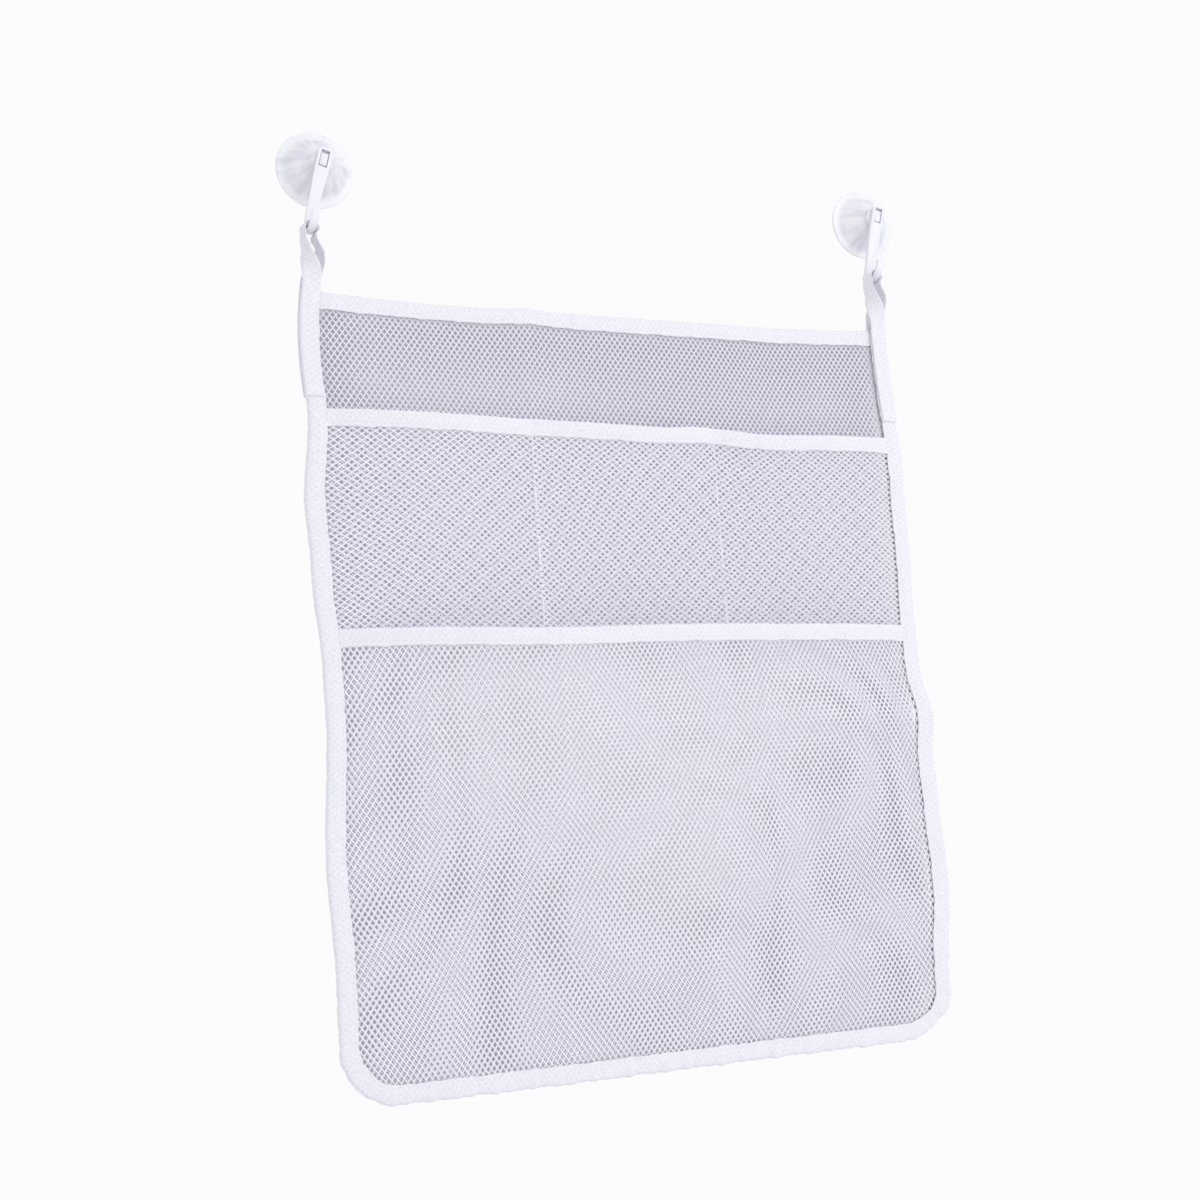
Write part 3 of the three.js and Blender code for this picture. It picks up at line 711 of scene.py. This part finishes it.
def level_path(top):
    """A tape's upper edge across the bag."""

    def path(s):
        return -RIM_REACH + s, np.full_like(s, top), np.zeros_like(s), -np.ones_like(s)

    return path


def tape_place(path, bow, layer, s, inward, out):
    """A point of a tape, s along its fold, inward from the fold and out of the bag's plane."""
    u, v, in_u, in_v = path(s)
    u, v, w = hung(bow, layer, u + in_u * inward, v + in_v * inward)
    return bag_points(u, v, w + out)


def tape_section(width, half):
    """The folded tape's section from its front lip over the fold to its back lip, and back inside."""
    slot = half - TAPE_THICKNESS
    groove = width - STITCH_INSET
    step = 0.5 * MM
    front = [(width, half - 0.25 * MM), (width - step, half)]
    front += [(groove + step, half - 0.02 * MM), (groove, half - 0.16 * MM), (groove - step, half)]
    front += [(0.55 * width, half + 0.16 * MM), (0.3 * width, half + 0.14 * MM), (half, half)]
    turns = [math.radians(degrees) for degrees in (60, 30, 0, -30, -60)]
    over = [(half * (1 - math.cos(turn)), half * math.sin(turn)) for turn in turns]
    back = [(inward, -out) for inward, out in reversed(front)]
    inner = [(width, -slot), (half, -slot), (half - 0.6 * slot, 0.0), (half, slot), (width, slot)]
    return np.array(front + over + back + inner)


def swept(name, rings, along, around):
    """A closed tape from rings of points, with a UV map in its own centimetres."""
    count, size = rings.shape[:2]
    start = (np.arange(count - 1) * size)[:, None]
    p = np.arange(size)[None, :]
    q = (p + 1) % size
    quads = np.stack([start + p, start + q, start + size + q, start + size + p], -1).reshape(-1, 4)
    caps = [list(range(size))[::-1], list(range((count - 1) * size, count * size))]
    piece = new_piece(name, rings.reshape(-1, 3), quads.tolist() + caps)
    near, far = np.repeat(along[:-1], size), np.repeat(along[1:], size)
    first, second = np.tile(around[:-1], count - 1), np.tile(around[1:], count - 1)
    corners = ((near, first), (near, second), (far, second), (far, first))
    uv = np.stack([np.stack(corner, -1) for corner in corners], 1)
    ends = np.zeros((2 * size, 2))
    layer = piece.data.uv_layers.new(name="tape")
    layer.data.foreach_set("uv", np.concatenate([uv.reshape(-1, 2), ends]).ravel() / CM)
    face_outwards(piece)
    smooth(piece, 50)
    return piece


def folded_tape(name, path, length, width, half, bow, layer, pucker):
    """A tape folded over the mesh's edge, a little uneven along its length."""
    section = tape_section(width, half)
    count = int(length / TAPE_STEP) + 1
    along = np.linspace(0, length, count)
    s = np.repeat(along, len(section)).reshape(count, -1)
    inward = np.tile(section[:, 0], (count, 1))
    out = np.tile(section[:, 1], (count, 1))
    lip = np.clip(inward / width, 0, 1) ** 2
    front = out > 0
    strength = pucker(s)
    edge = np.where(front, wobble(s, 0.3), wobble(s, 2.3))
    knots = np.sin(2 * math.pi * s / HOLE_PITCH[0] + 2 * wobble(s, 0.9)) * KNOT_PRINT
    fold = strength * wobble(s, 4.1) * FOLD_WAVE + knots
    inward = inward + lip * edge * LIP_WAVE + (1 - lip) * fold
    swell = np.sign(out) * (1 - lip) * strength * wobble(s, 1.1) * FOLD_SWELL
    rings = tape_place(path, bow, layer, s, inward, out + swell)
    return swept(name, rings, along, travelled_round(section))


# Stitches


def grain():
    """One stitch of unit length, width and height: six sides, round along and across."""
    turns = np.arange(6) * math.pi / 3
    ring = np.stack([np.zeros(6), np.cos(turns) / 2, np.sin(turns) / 2], -1)
    points = [(-0.5, 0, 0)]
    points += [tuple(p + np.array([x, 0, 0])) for x in (-0.28, 0.28) for p in ring]
    points += [(0.5, 0, 0)]
    faces = []
    for k in range(6):
        n = (k + 1) % 6
        faces.append((0, 1 + n, 1 + k))
        faces.append((1 + k, 1 + n, 7 + n, 7 + k))
        faces.append((7 + k, 7 + n, 13))
    return np.array(points), faces


def stitches(name, rows, width=STITCH_WIDTH):
    """Rows of stitches between starts and ends, on the cloth's front (1) or its back (-1)."""
    shape, faces = grain()
    starts = np.concatenate([row[0] for row in rows])
    ends = np.concatenate([row[1] for row in rows])
    out = np.concatenate([np.tile([0.0, -face, 0.0], (len(row), 1)) for row, _, face in rows])
    along = ends - starts
    length = np.linalg.norm(along, axis=1, keepdims=True)
    along = along / length
    out = square_to(along, out)
    side = np.cross(out, along)
    middle = (starts + ends) / 2
    points = (
        middle[:, None]
        + along[:, None] * shape[None, :, :1] * length[:, None]
        + side[:, None] * shape[None, :, 1:2] * width
        + out[:, None] * shape[None, :, 2:] * STITCH_RISE
    )
    size = len(shape)
    all_faces = [[k * size + p for p in face] for k in range(len(starts)) for face in faces]
    piece = new_piece(name, points.reshape(-1, 3), all_faces)
    all_smooth(piece)
    return piece


def tape_stitches(name, path, length, width, half, bow, layer):
    """Two rows of stitches, on the tape's front and on its back."""
    s = np.arange(STITCH_STEP, length - STITCH_STEP, STITCH_STEP)
    inward = width - STITCH_INSET
    rows = []
    for face in (1, -1):
        level = face * (half - STITCH_SINK)
        starts = tape_place(path, bow, layer, s, inward, level)
        rows.append((starts, tape_place(path, bow, layer, s + STITCH_LENGTH, inward, level), face))
    return stitches(name, rows)


def make_tapes(tape, thread):
    """Each folded tape with its rows of stitches."""

    def foot_pucker(s):
        """Most unevenness round the corners and along the foot."""
        _, v, _, _ = side_path(s)
        return 0.35 + 1.1 * np.clip((-v - 0.8 * BAG_HEIGHT) / (0.2 * BAG_HEIGHT), 0, 1)

    def even_pucker(s):
        return np.full_like(s, 0.4)

    side = (side_path, SIDE_LENGTH, BINDING_WIDTH, BINDING_HALF, flat_bow, 0.0)
    rows = [("side_binding_tape", "side_binding", side, foot_pucker)]
    level_rows = (
        ("top_binding_tape", "top_binding", 0.0, TOP_HALF, flat_bow, TOP_LAYER),
        ("small_rim_tape", "small_pocket_rim", SMALL_RIM_TOP, RIM_HALF, small_bow, LAYER),
        ("main_rim_tape", "main_pocket_rim", MAIN_RIM_TOP, RIM_HALF, main_bow, LAYER),
    )
    for name, node, top, half, bow, layer in level_rows:
        run = (level_path(top), 2 * RIM_REACH, RIM_WIDTH, half, bow, layer)
        rows.append((name, node, run, even_pucker))
    for name, node, run, pucker in rows:
        piece = folded_tape(name, *run, pucker)
        dress(piece, tape, "bag", "woven_tape", node)
        row = tape_stitches(name + "_stitches", *run)
        dress(row, thread, "bag", "sewing_thread")


def make_dividers(thread):
    """Upright rows of stitches that part the small pockets."""
    v = np.arange(SMALL_RIM_TOP - RIM_WIDTH, SMALL_FOOT + DIVIDER_END, -STITCH_STEP)
    for k, divider in enumerate(DIVIDERS, 1):
        u = np.full_like(v, divider)
        tops, feet = [hung(small_bow, LAYER + YARN_THICKNESS / 2, u, end) for end in (v, v - STITCH_LENGTH)]
        rows = [(bag_points(*tops), bag_points(*feet), 1)]
        row = stitches(f"divider_stitches_{k}", rows, DIVIDER_WIDTH)
        dress(row, thread, "bag", "sewing_thread", f"divider_seam_{k}")


# Hanging loops


def smoothstep(x, low, high):
    t = np.clip((x - low) / (high - low), 0, 1)
    return t * t * (3 - 2 * t)


def loop_stations():
    """The loop's middle line, its outward direction and its curl, from the front tail to the back tail."""
    rise = THROAT.z - BAG_TOP
    plumb = BAG_Y - THROAT.y
    outer = THROAT_RADIUS + HOOK_THICKNESS
    rest = THROAT_RADIUS - LOOP_PLAY - LOOP_THICKNESS / 2
    base = BINDING_HALF + LOOP_GAP + LOOP_THICKNESS / 2
    shift = -HOOK_DROP * math.sin(HOOK_LEAN) - BAG_X
    top = HOOK_TIP_WIDTH / 2 + LOOP_SIDE_PLAY + LOOP_THICKNESS / 2
    twist_end = rise - outer - LOOP_CLEAR
    bend_start = rise - rest - LOOP_BEND
    sewn = np.linspace(-LOOP_TAIL, LOOP_JOIN, 24)
    free = np.linspace(LOOP_JOIN, bend_start, 52)
    heights = np.concatenate([sewn, free[1:]])
    halves = []
    for side in (1, -1):
        turn = smoothstep(heights, LOOP_JOIN, twist_end)
        angle = turn * math.pi / 2
        out = np.stack([-np.sin(angle), -np.cos(angle), np.zeros_like(angle)], -1) * side
        at = np.stack([shift * turn, -plumb * turn, heights], -1)
        share = np.clip((heights - LOOP_JOIN) / (bend_start - LOOP_JOIN), 0, 1)
        apart = LOOP_BOW * np.sin(math.pi * share) ** 2
        at = at + out * (base + (top - base) * turn + apart)[:, None]
        gathered = smoothstep(heights, bend_start - LOOP_GATHER, bend_start)
        curl = LOOP_FIRST_ROLL * gathered / LOOP_ROLL
        bend = np.linspace(0, math.pi / 2, 9)[1:]
        bend_out = np.stack([-side * np.cos(bend), np.zeros_like(bend), np.sin(bend)], -1)
        bend_at = np.array([shift - side * (top - LOOP_BEND), -plumb, bend_start]) + bend_out * LOOP_BEND
        rolled = smoothstep(bend, 0, math.pi / 3)
        bend_curl = (LOOP_FIRST_ROLL + (1 - LOOP_FIRST_ROLL) * rolled) / LOOP_ROLL
        half = [np.concatenate(pair) for pair in ((at, bend_at), (out, bend_out), (curl, bend_curl))]
        halves.append(half if side == 1 else [part[::-1] for part in half])
    at, out, curl = [np.concatenate(pair) for pair in zip(*halves)]
    lean = HOOK_LEAN * smoothstep(at[:, 2], rise - outer - LOOP_FOLLOW, rise - outer)
    throat = np.array([shift, -plumb, rise])
    return leaned(at - throat, lean) + throat, leaned(out, lean), curl


def leaned(points, angle):
    """Points turned about the line through the throat that points out of the wall."""
    x, z = points[:, 0], points[:, 2]
    return np.stack([
        x * np.cos(angle) + z * np.sin(angle),
        points[:, 1],
        z * np.cos(angle) - x * np.sin(angle),
    ], -1)


def tape_ring(curl):
    """The loop's section: a flat tape with round edges, or one curled into a trough."""
    edge = LOOP_THICKNESS / 2
    curl = max(curl, LEAST_CURL)
    angle = curl * np.linspace(-0.5, 0.5, 11) * (LOOP_WIDTH - 2 * edge)
    middle = np.stack([np.sin(angle) / curl, (1 - np.cos(angle)) / curl], -1)
    normal = np.stack([-np.sin(angle), np.cos(angle)], -1)
    tangent = np.stack([np.cos(angle), np.sin(angle)], -1)
    lower = middle - normal * edge
    upper = (middle + normal * edge)[::-1]
    right = middle[-1:] + tangent[-1:] * edge
    left = middle[:1] - tangent[:1] * edge
    return np.concatenate([lower, right, upper, left])


def hanging_loop(name, cup_x):
    """A tape over the hook, whose tails follow the bag where they are sewn to it."""
    at, out, curl = loop_stations()
    along = unit(np.gradient(at, axis=0))
    out = square_to(along, out)
    across = np.cross(out, along)
    rings = []
    for k in range(len(at)):
        ring = tape_ring(curl[k])
        rings.append(at[k] + across[k] * ring[:, :1] + out[k] * ring[:, 1:])
    rings = np.array(rings)
    u, v = rings[..., 0] + cup_x, rings[..., 2]
    sewn = np.clip(1 - v / LOOP_RELEASE, 0, 1)
    sway_u, sway_v, sway_w = hang(np.full_like(u, cup_x), np.minimum(v, 0))
    points = bag_points(u + sway_u * sewn, v + sway_v * sewn, sway_w * sewn - rings[..., 1])
    return swept(name, points, travelled(at), travelled_round(tape_ring(0.0)))


def tail_stitches(name, cup_x):
    """Rows of stitches that hold the loop's two tails to the binding."""
    rows = []
    base = BINDING_HALF + LOOP_GAP + LOOP_THICKNESS - TAIL_SINK
    u = np.arange(-LOOP_WIDTH / 2 + TAIL_MARGINS[0], LOOP_WIDTH / 2 - TAIL_MARGINS[1], TAIL_STEP) + cup_x
    for face in (1, -1):
        for height in TAIL_SEAMS:
            for shift in (0.0, TAIL_ROW_GAP):
                v = np.full_like(u, height + shift)
                sway_u, sway_v, sway_w = hang(np.full_like(u, cup_x), v)
                starts = bag_points(u + sway_u, v + sway_v, face * base + sway_w)
                rows.append((starts, starts + np.array(TAIL_STITCH), face))
    return stitches(name, rows)


# Suction cups and hooks


def cup_profile(radius, cone, hub):
    """Rings of the cup from the middle of its hollow, out to the rim and in to the hub's face."""
    seal = radius - CUP_SEAL
    rings = [(CUP_AXIS, CUP_HOLLOW)]
    for k in range(1, 8):
        t = k / 8
        rings.append((seal * (2 * t * (1 - t) * CUP_FLARE + t * t), CUP_HOLLOW * (1 - t * t)))
    rings += [(seal, 0.12 * MM), (seal + 0.3 * MM, 0.0)]
    rings += [(radius - 0.4 * MM, 0.0), (radius - 0.1 * MM, 0.12 * MM), (radius, 0.45 * MM)]
    rings += [(radius, 0.95 * MM), (radius - 0.12 * MM, 1.25 * MM)]
    rings += [(radius - 0.45 * MM, 1.4 * MM), (radius - 2.4 * MM, 1.55 * MM)]
    for k in range(15):
        t = k / 14
        start, middle, end = (1 - t) ** 2, 2 * t * (1 - t) * CUP_FLARE, t * t
        r = seal * (start + middle) + CUP_HUB_RADIUS * end
        h = CUP_CONE_START * start + cone * (middle + end)
        rings.append((r, h))
    rings += [(CUP_HUB_RADIUS, hub - 0.5 * MM), (CUP_HUB_RADIUS - 0.15 * MM, hub - 0.15 * MM)]
    rings += [(CUP_HUB_RADIUS - 0.5 * MM, hub), (CUP_AXIS, hub)]
    return rings


def suction_cup(name, node):
    """A vinyl cup turned ring by ring, with fine moulded ribs on its cone and a nub for the hook."""
    low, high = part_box(node)
    radius = (high.x - low.x) / 2
    centre = Vector(((low.x + high.x) / 2, high.y, (low.z + high.z) / 2))
    nub_front = high.y - low.y
    hub = nub_front + NUB_RECESS - HOOK_THICKNESS - HUB_GAP
    cone = hub - CUP_HUB_RISE
    rings = cup_profile(radius, cone, hub)
    inmost, height = rings[0]
    deselect()
    bpy.ops.mesh.primitive_circle_add(
        vertices=CUP_SIDES, radius=inmost, fill_type="NGON", location=(0, 0, height)
    )
    piece = bpy.context.object
    piece.name = name
    bpy.ops.object.transform_apply(location=True)
    edit_all()
    for (r0, h0), (r1, h1) in zip(rings, rings[1:]):
        bpy.ops.mesh.extrude_region_move(TRANSFORM_OT_translate={"value": (0, 0, h1 - h0)})
        scale = r1 / r0
        bpy.ops.transform.resize(value=(scale, scale, 1), center_override=(0, 0, h1))
    leave_edit()
    for vertex in piece.data.vertices:
        r = math.hypot(vertex.co.x, vertex.co.y)
        if vertex.co.z > max(CUP_RIB_FLOOR, CUP_RIB_INSIDE * cone * (1 - r / radius)):
            turn = math.atan2(vertex.co.y, vertex.co.x)
            rib = max(0.0, math.cos(CUP_RIBS * turn)) ** 4 * (0.6 + 0.4 * math.sin(3.7 * turn + 1.0))
            reach = max(0.0, 1 - ((r - CUP_RIB_MIDDLE) / CUP_RIB_REACH) ** 2)
            vertex.co.z += CUP_RIB_HEIGHT * rib * reach
    deselect()
    bpy.ops.mesh.primitive_cube_add(size=1, location=(0, 0, (cone + nub_front) / 2))
    nub = bpy.context.object
    nub.scale = (NUB_SIZE[0], NUB_SIZE[1], nub_front - cone)
    bpy.ops.object.transform_apply(location=True, scale=True)
    edit_all()
    bpy.ops.mesh.bevel(offset=EDGE_ROUND, segments=3, affect="EDGES")
    leave_edit()
    piece.select_set(True)
    bpy.context.view_layer.objects.active = piece
    bpy.ops.object.join()
    round_map(piece, radius)
    lean = Matrix.Rotation(HOOK_LEAN, 4, "Y")
    piece.data.transform(Matrix.Translation(centre) @ lean @ Matrix.Rotation(math.pi / 2, 4, "X"))
    face_outwards(piece)
    smooth(piece, 60)
    return piece, centre, hub + HUB_GAP


def round_map(piece, radius):
    """Stores each point's direction from the cup's axis and its share of the radius."""
    layer = piece.data.attributes.new("round", "FLOAT_VECTOR", "POINT")
    for point, value in zip(piece.data.vertices, layer.data):
        reach = max(math.hypot(point.co.x, point.co.y), 0.01 * MM)
        value.vector = (point.co.x / reach, point.co.y / reach, reach / radius)


def hook_spine(back):
    """The J's middle line, with the turn and width of the strap at each step: y out of the wall, z up."""
    depth = -(back + HOOK_THICKNESS / 2)
    throat = -(back + HOOK_THICKNESS + THROAT_RADIUS)
    bend = THROAT_RADIUS + HOOK_THICKNESS / 2
    steps = [
        (depth, HOOK_TOP, 0.0, HOOK_WIDTH),
        (depth, WINDOW_FOOT, 0.0, HOOK_WIDTH),
        (depth, -HOOK_DROP, 0.0, HOOK_TIP_WIDTH),
    ]
    for k in range(1, 13):
        angle = math.pi * k / 12
        width = HOOK_TIP_WIDTH + (HOOK_FOOT_WIDTH - HOOK_TIP_WIDTH) * math.sin(angle) ** 2
        steps.append((throat + bend * math.cos(angle), -HOOK_DROP - bend * math.sin(angle), angle, width))
    steps.append((throat - bend, HOOK_TIP, math.pi, HOOK_TIP_WIDTH))
    return steps


def hook(name, centre, back):
    """A moulded J: a strap extruded round its throat, pierced by a window and rounded off."""
    steps = hook_spine(back)
    deselect()
    bpy.ops.mesh.primitive_plane_add(size=1, location=(0, steps[0][0], steps[0][1]))
    piece = bpy.context.object
    piece.name = name
    piece.scale = (HOOK_WIDTH, HOOK_THICKNESS, 1)
    bpy.ops.object.transform_apply(location=True, scale=True)
    edit_all()
    for before, after in zip(steps, steps[1:]):
        move = (0, after[0] - before[0], after[1] - before[1])
        bpy.ops.mesh.extrude_region_move(TRANSFORM_OT_translate={"value": move})
        place = (0, after[0], after[1])
        turn = after[2] - before[2]
        if turn:
            bpy.ops.transform.rotate(value=turn, orient_axis="X", center_override=place)
        if after[3] != before[3]:
            bpy.ops.transform.resize(value=(after[3] / before[3], 1, 1), center_override=place)
    leave_edit()
    face_outwards(piece)
    open_window(piece)
    round_ends(piece)
    bevel = piece.modifiers.new("edges", "BEVEL")
    bevel.width = EDGE_ROUND
    bevel.segments = 3
    bevel.limit_method = "ANGLE"
    bevel.angle_limit = math.radians(40)
    bpy.ops.object.modifier_apply(modifier=bevel.name)
    piece.data.transform(Matrix.Translation(centre) @ Matrix.Rotation(HOOK_LEAN, 4, "Y"))
    face_outwards(piece)
    smooth(piece, 35)
    return piece


def open_window(piece):
    """Cuts the window through the strap below its top."""

    def on_window(face):
        return WINDOW_FOOT < face.center.z < HOOK_TOP and abs(face.normal.y) > 0.9

    pick(piece, "FACE", on_window)
    bpy.ops.mesh.inset(thickness=WINDOW_RAIL, use_individual=True)
    bpy.ops.mesh.bridge_edge_loops()
    leave_edit()


def round_ends(piece):
    """Rounds the corners of the strap's top and of the lip's tip."""
    for level, size in ((HOOK_TOP, HOOK_TOP_ROUND), (HOOK_TIP, HOOK_TIP_ROUND)):

        def across_end(edge):
            first, second = [piece.data.vertices[k].co for k in edge.vertices]
            at_end = abs(first.z - level) < TOUCH and abs(second.z - level) < TOUCH
            return at_end and abs(first.x - second.x) < TOUCH

        pick(piece, "EDGE", across_end)
        bpy.ops.mesh.bevel(offset=size, segments=6, affect="EDGES")
        leave_edit()


def make_hangers(vinyl, plastic, tape, thread):
    """On each side a cup, its hook, and the loop that hangs from it."""
    for label in ("left", "right"):
        cup, centre, hook_back = suction_cup(f"{label}_cup_vinyl", f"{label}_suction_cup")
        dress(cup, vinyl, "wall_hooks", "cup_vinyl", f"{label}_suction_cup")
        strap = hook(f"{label}_hook_moulding", centre, hook_back)
        dress(strap, plastic, "wall_hooks", "hook_plastic", f"{label}_hook")
        loop = hanging_loop(f"{label}_loop_tape", centre.x)
        dress(loop, tape, None, "woven_tape", f"{label}_hanging_loop")
        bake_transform(loop)
        row = tail_stitches(f"{label}_loop_stitches", centre.x)
        dress(row, thread, "bag", "sewing_thread")


# Stage, light and camera

STAGE_SIZE = 8.0
WALL_GAP = 0.4 * MM  # between the wall and the cups' rims
FLOOR_DROP = 0.35  # from the bag's foot
WALL_PALE = (0.97, 0.97, 0.98)
WALL_SHADE = (0.345, 0.34, 0.43)  # the wall right behind the mesh
SHADE_REACH = 36 * MM  # things closer than this shade the wall
SHADE_LIMITS = (0.86, 0.68)  # open shares of the wall's view where the shade starts and is full
SHADE_SLANT = (-0.52, 0.0, -0.1)  # the shade falls away from the left, where the camera stands
SHADE_ASIDE = 12 * MM
SHADE_WIDER = 4 * MM  # at each side
SHADE_RISE = 2.5 * MM
SHADE_EDGE = 7 * MM  # how soft the shade ends
SHADE_CORNER = 20 * MM
WORLD_TINT = (0.97, 0.97, 1.0)
WORLD_STRENGTH = 0.92
KEY_PLACE = (0.7, -1.7, 0.4)
KEY_SIZE = 1.8
KEY_POWER = 9.8


def floor_material():
    """A matt pale floor."""
    return new_material("pale_floor", (0.9, 0.9, 0.92), 0.9)[0]


def shade_field(tree):
    """The stretch of wall that the bag can shade: a rounded oblong a little aside from the bag."""
    half_width = HALF_WIDTH + SHADE_WIDER - SHADE_CORNER
    half_height = BAG_HEIGHT / 2 + SHADE_RISE - SHADE_CORNER
    middle = (BAG_X + SHADE_ASIDE, 0, BAG_TOP - BAG_HEIGHT / 2 + SHADE_RISE)
    place = place_of(tree)
    aside = vector_math(tree, "ABSOLUTE", vector_math(tree, "SUBTRACT", place, middle))
    past = vector_math(tree, "SUBTRACT", aside, (half_width, 1, half_height))
    beyond = vector_math(tree, "LENGTH", vector_math(tree, "MAXIMUM", past, (0, 0, 0)))
    edge = ranged(tree, beyond, SHADE_CORNER, SHADE_CORNER - SHADE_EDGE)
    edge.node.interpolation_type = "SMOOTHSTEP"
    return edge


def wall_material():
    """A white backdrop that darkens behind what hangs close to it.

    It shows only its front, and only to what looks at it, so the light passes it from both sides.
    """
    material, tree, shader = new_material("white_wall", WALL_PALE, 0.9)
    geometry = tree.nodes.new("ShaderNodeNewGeometry")
    near = tree.nodes.new("ShaderNodeAmbientOcclusion")
    near.samples = 24
    near.inputs["Distance"].default_value = SHADE_REACH
    slanted = vector_math(tree, "ADD", geometry.outputs["Normal"], SHADE_SLANT)
    link(tree, vector_math(tree, "NORMALIZE", slanted), near.inputs["Normal"])
    shade = ranged(tree, near.outputs["AO"], *SHADE_LIMITS)
    dark = combined(tree, "MULTIPLY", shade, shade_field(tree))
    glow = tree.nodes.new("ShaderNodeEmission")
    link(tree, tinted(tree, dark, WALL_PALE, WALL_SHADE), glow.inputs["Color"])
    path = tree.nodes.new("ShaderNodeLightPath")
    looked_at = combined(tree, "MAXIMUM", path.outputs["Is Camera Ray"], path.outputs["Is Glossy Ray"])
    looked_at = combined(tree, "MAXIMUM", looked_at, path.outputs["Is Transmission Ray"])
    front = combined(tree, "SUBTRACT", looked_at, geometry.outputs["Backfacing"])
    front.node.use_clamp = True
    clear = tree.nodes.new("ShaderNodeBsdfTransparent")
    mix = tree.nodes.new("ShaderNodeMixShader")
    link(tree, front, mix.inputs["Fac"])
    link(tree, clear.outputs[0], mix.inputs[1])
    link(tree, glow.outputs[0], mix.inputs[2])
    link(tree, mix.outputs[0], tree.nodes["Material Output"].inputs["Surface"])
    tree.nodes.remove(shader)
    return material


def make_stage():
    """The wall behind the bag and a floor well below it."""
    deselect()
    upright = (math.pi / 2, 0, 0)
    bpy.ops.mesh.primitive_plane_add(size=STAGE_SIZE, location=(0, WALL_GAP, 0), rotation=upright)
    bpy.ops.object.transform_apply(location=True, rotation=True)
    wall = bpy.context.object
    wall.name = "wall"
    wall.data.materials.append(wall_material())
    bpy.ops.mesh.primitive_plane_add(size=STAGE_SIZE, location=(0, 0, side_low.z - FLOOR_DROP))
    floor = bpy.context.object
    floor.name = "floor"
    floor.data.materials.append(floor_material())


def make_light():
    """Even light from all round, and a wide soft lamp from the right."""
    world = bpy.data.worlds.new("studio")
    world.use_nodes = True
    background = world.node_tree.nodes["Background"]
    background.inputs["Color"].default_value = (*WORLD_TINT, 1)
    background.inputs["Strength"].default_value = WORLD_STRENGTH
    bpy.context.scene.world = world
    middle = Vector((BAG_X, BAG_Y, BAG_TOP - BAG_HEIGHT / 2))
    data = bpy.data.lights.new("key", "AREA")
    data.shape = "DISK"
    data.size = KEY_SIZE
    data.energy = KEY_POWER
    lamp = bpy.data.objects.new("key", data)
    lamp.location = KEY_PLACE
    lamp.rotation_euler = (middle - lamp.location).to_track_quat("-Z", "Y").to_euler()
    bpy.context.scene.collection.objects.link(lamp)


# The camera stands to the left of the bag, below its middle, and looks up a little
CAMERA_FROM_BAG = Vector((-0.50204, -0.9699, -0.31315))
CAMERA_YAW = math.radians(26.3)
CAMERA_PITCH = math.radians(7.41)
CAMERA_ROLL = math.radians(3.83)
CAMERA_LENS = 57.0


def make_camera():
    data = bpy.data.cameras.new("camera")
    data.lens = CAMERA_LENS
    data.sensor_width = 36.0
    camera = bpy.data.objects.new("camera", data)
    aside = Matrix.Rotation(-CAMERA_YAW, 4, "Z")
    upward = Matrix.Rotation(math.pi / 2 + CAMERA_PITCH, 4, "X")
    roll = Matrix.Rotation(-CAMERA_ROLL, 4, "Z")
    place = Vector((BAG_X, BAG_Y, BAG_TOP)) + CAMERA_FROM_BAG
    camera.matrix_world = Matrix.Translation(place) @ aside @ upward @ roll
    bpy.context.scene.collection.objects.link(camera)
    bpy.context.scene.camera = camera


make_camera()
# Painted light: one white yarn in two copies, darker for the back's mesh as painted shade behind the
# pockets, brighter for the pockets' mesh as the lit front layer
shaded_back_yarn_look = knitted_mesh("back_mesh_yarn_painted_shade", (0.805, 0.80, 0.885), (0.885, 0.88, 0.95))
lit_pocket_yarn_look = knitted_mesh("pocket_mesh_yarn_painted_light", (0.93, 0.922, 0.985), (0.96, 0.952, 0.998))
tape_look, thread_look = woven_tape(), sewing_thread()
make_panels(shaded_back_yarn_look, lit_pocket_yarn_look)
make_tapes(tape_look, thread_look)
make_dividers(thread_look)
make_hangers(cup_vinyl(), hook_plastic(), tape_look, thread_look)
make_stage()
make_light()
bpy.context.scene.view_settings.view_transform = "Standard"
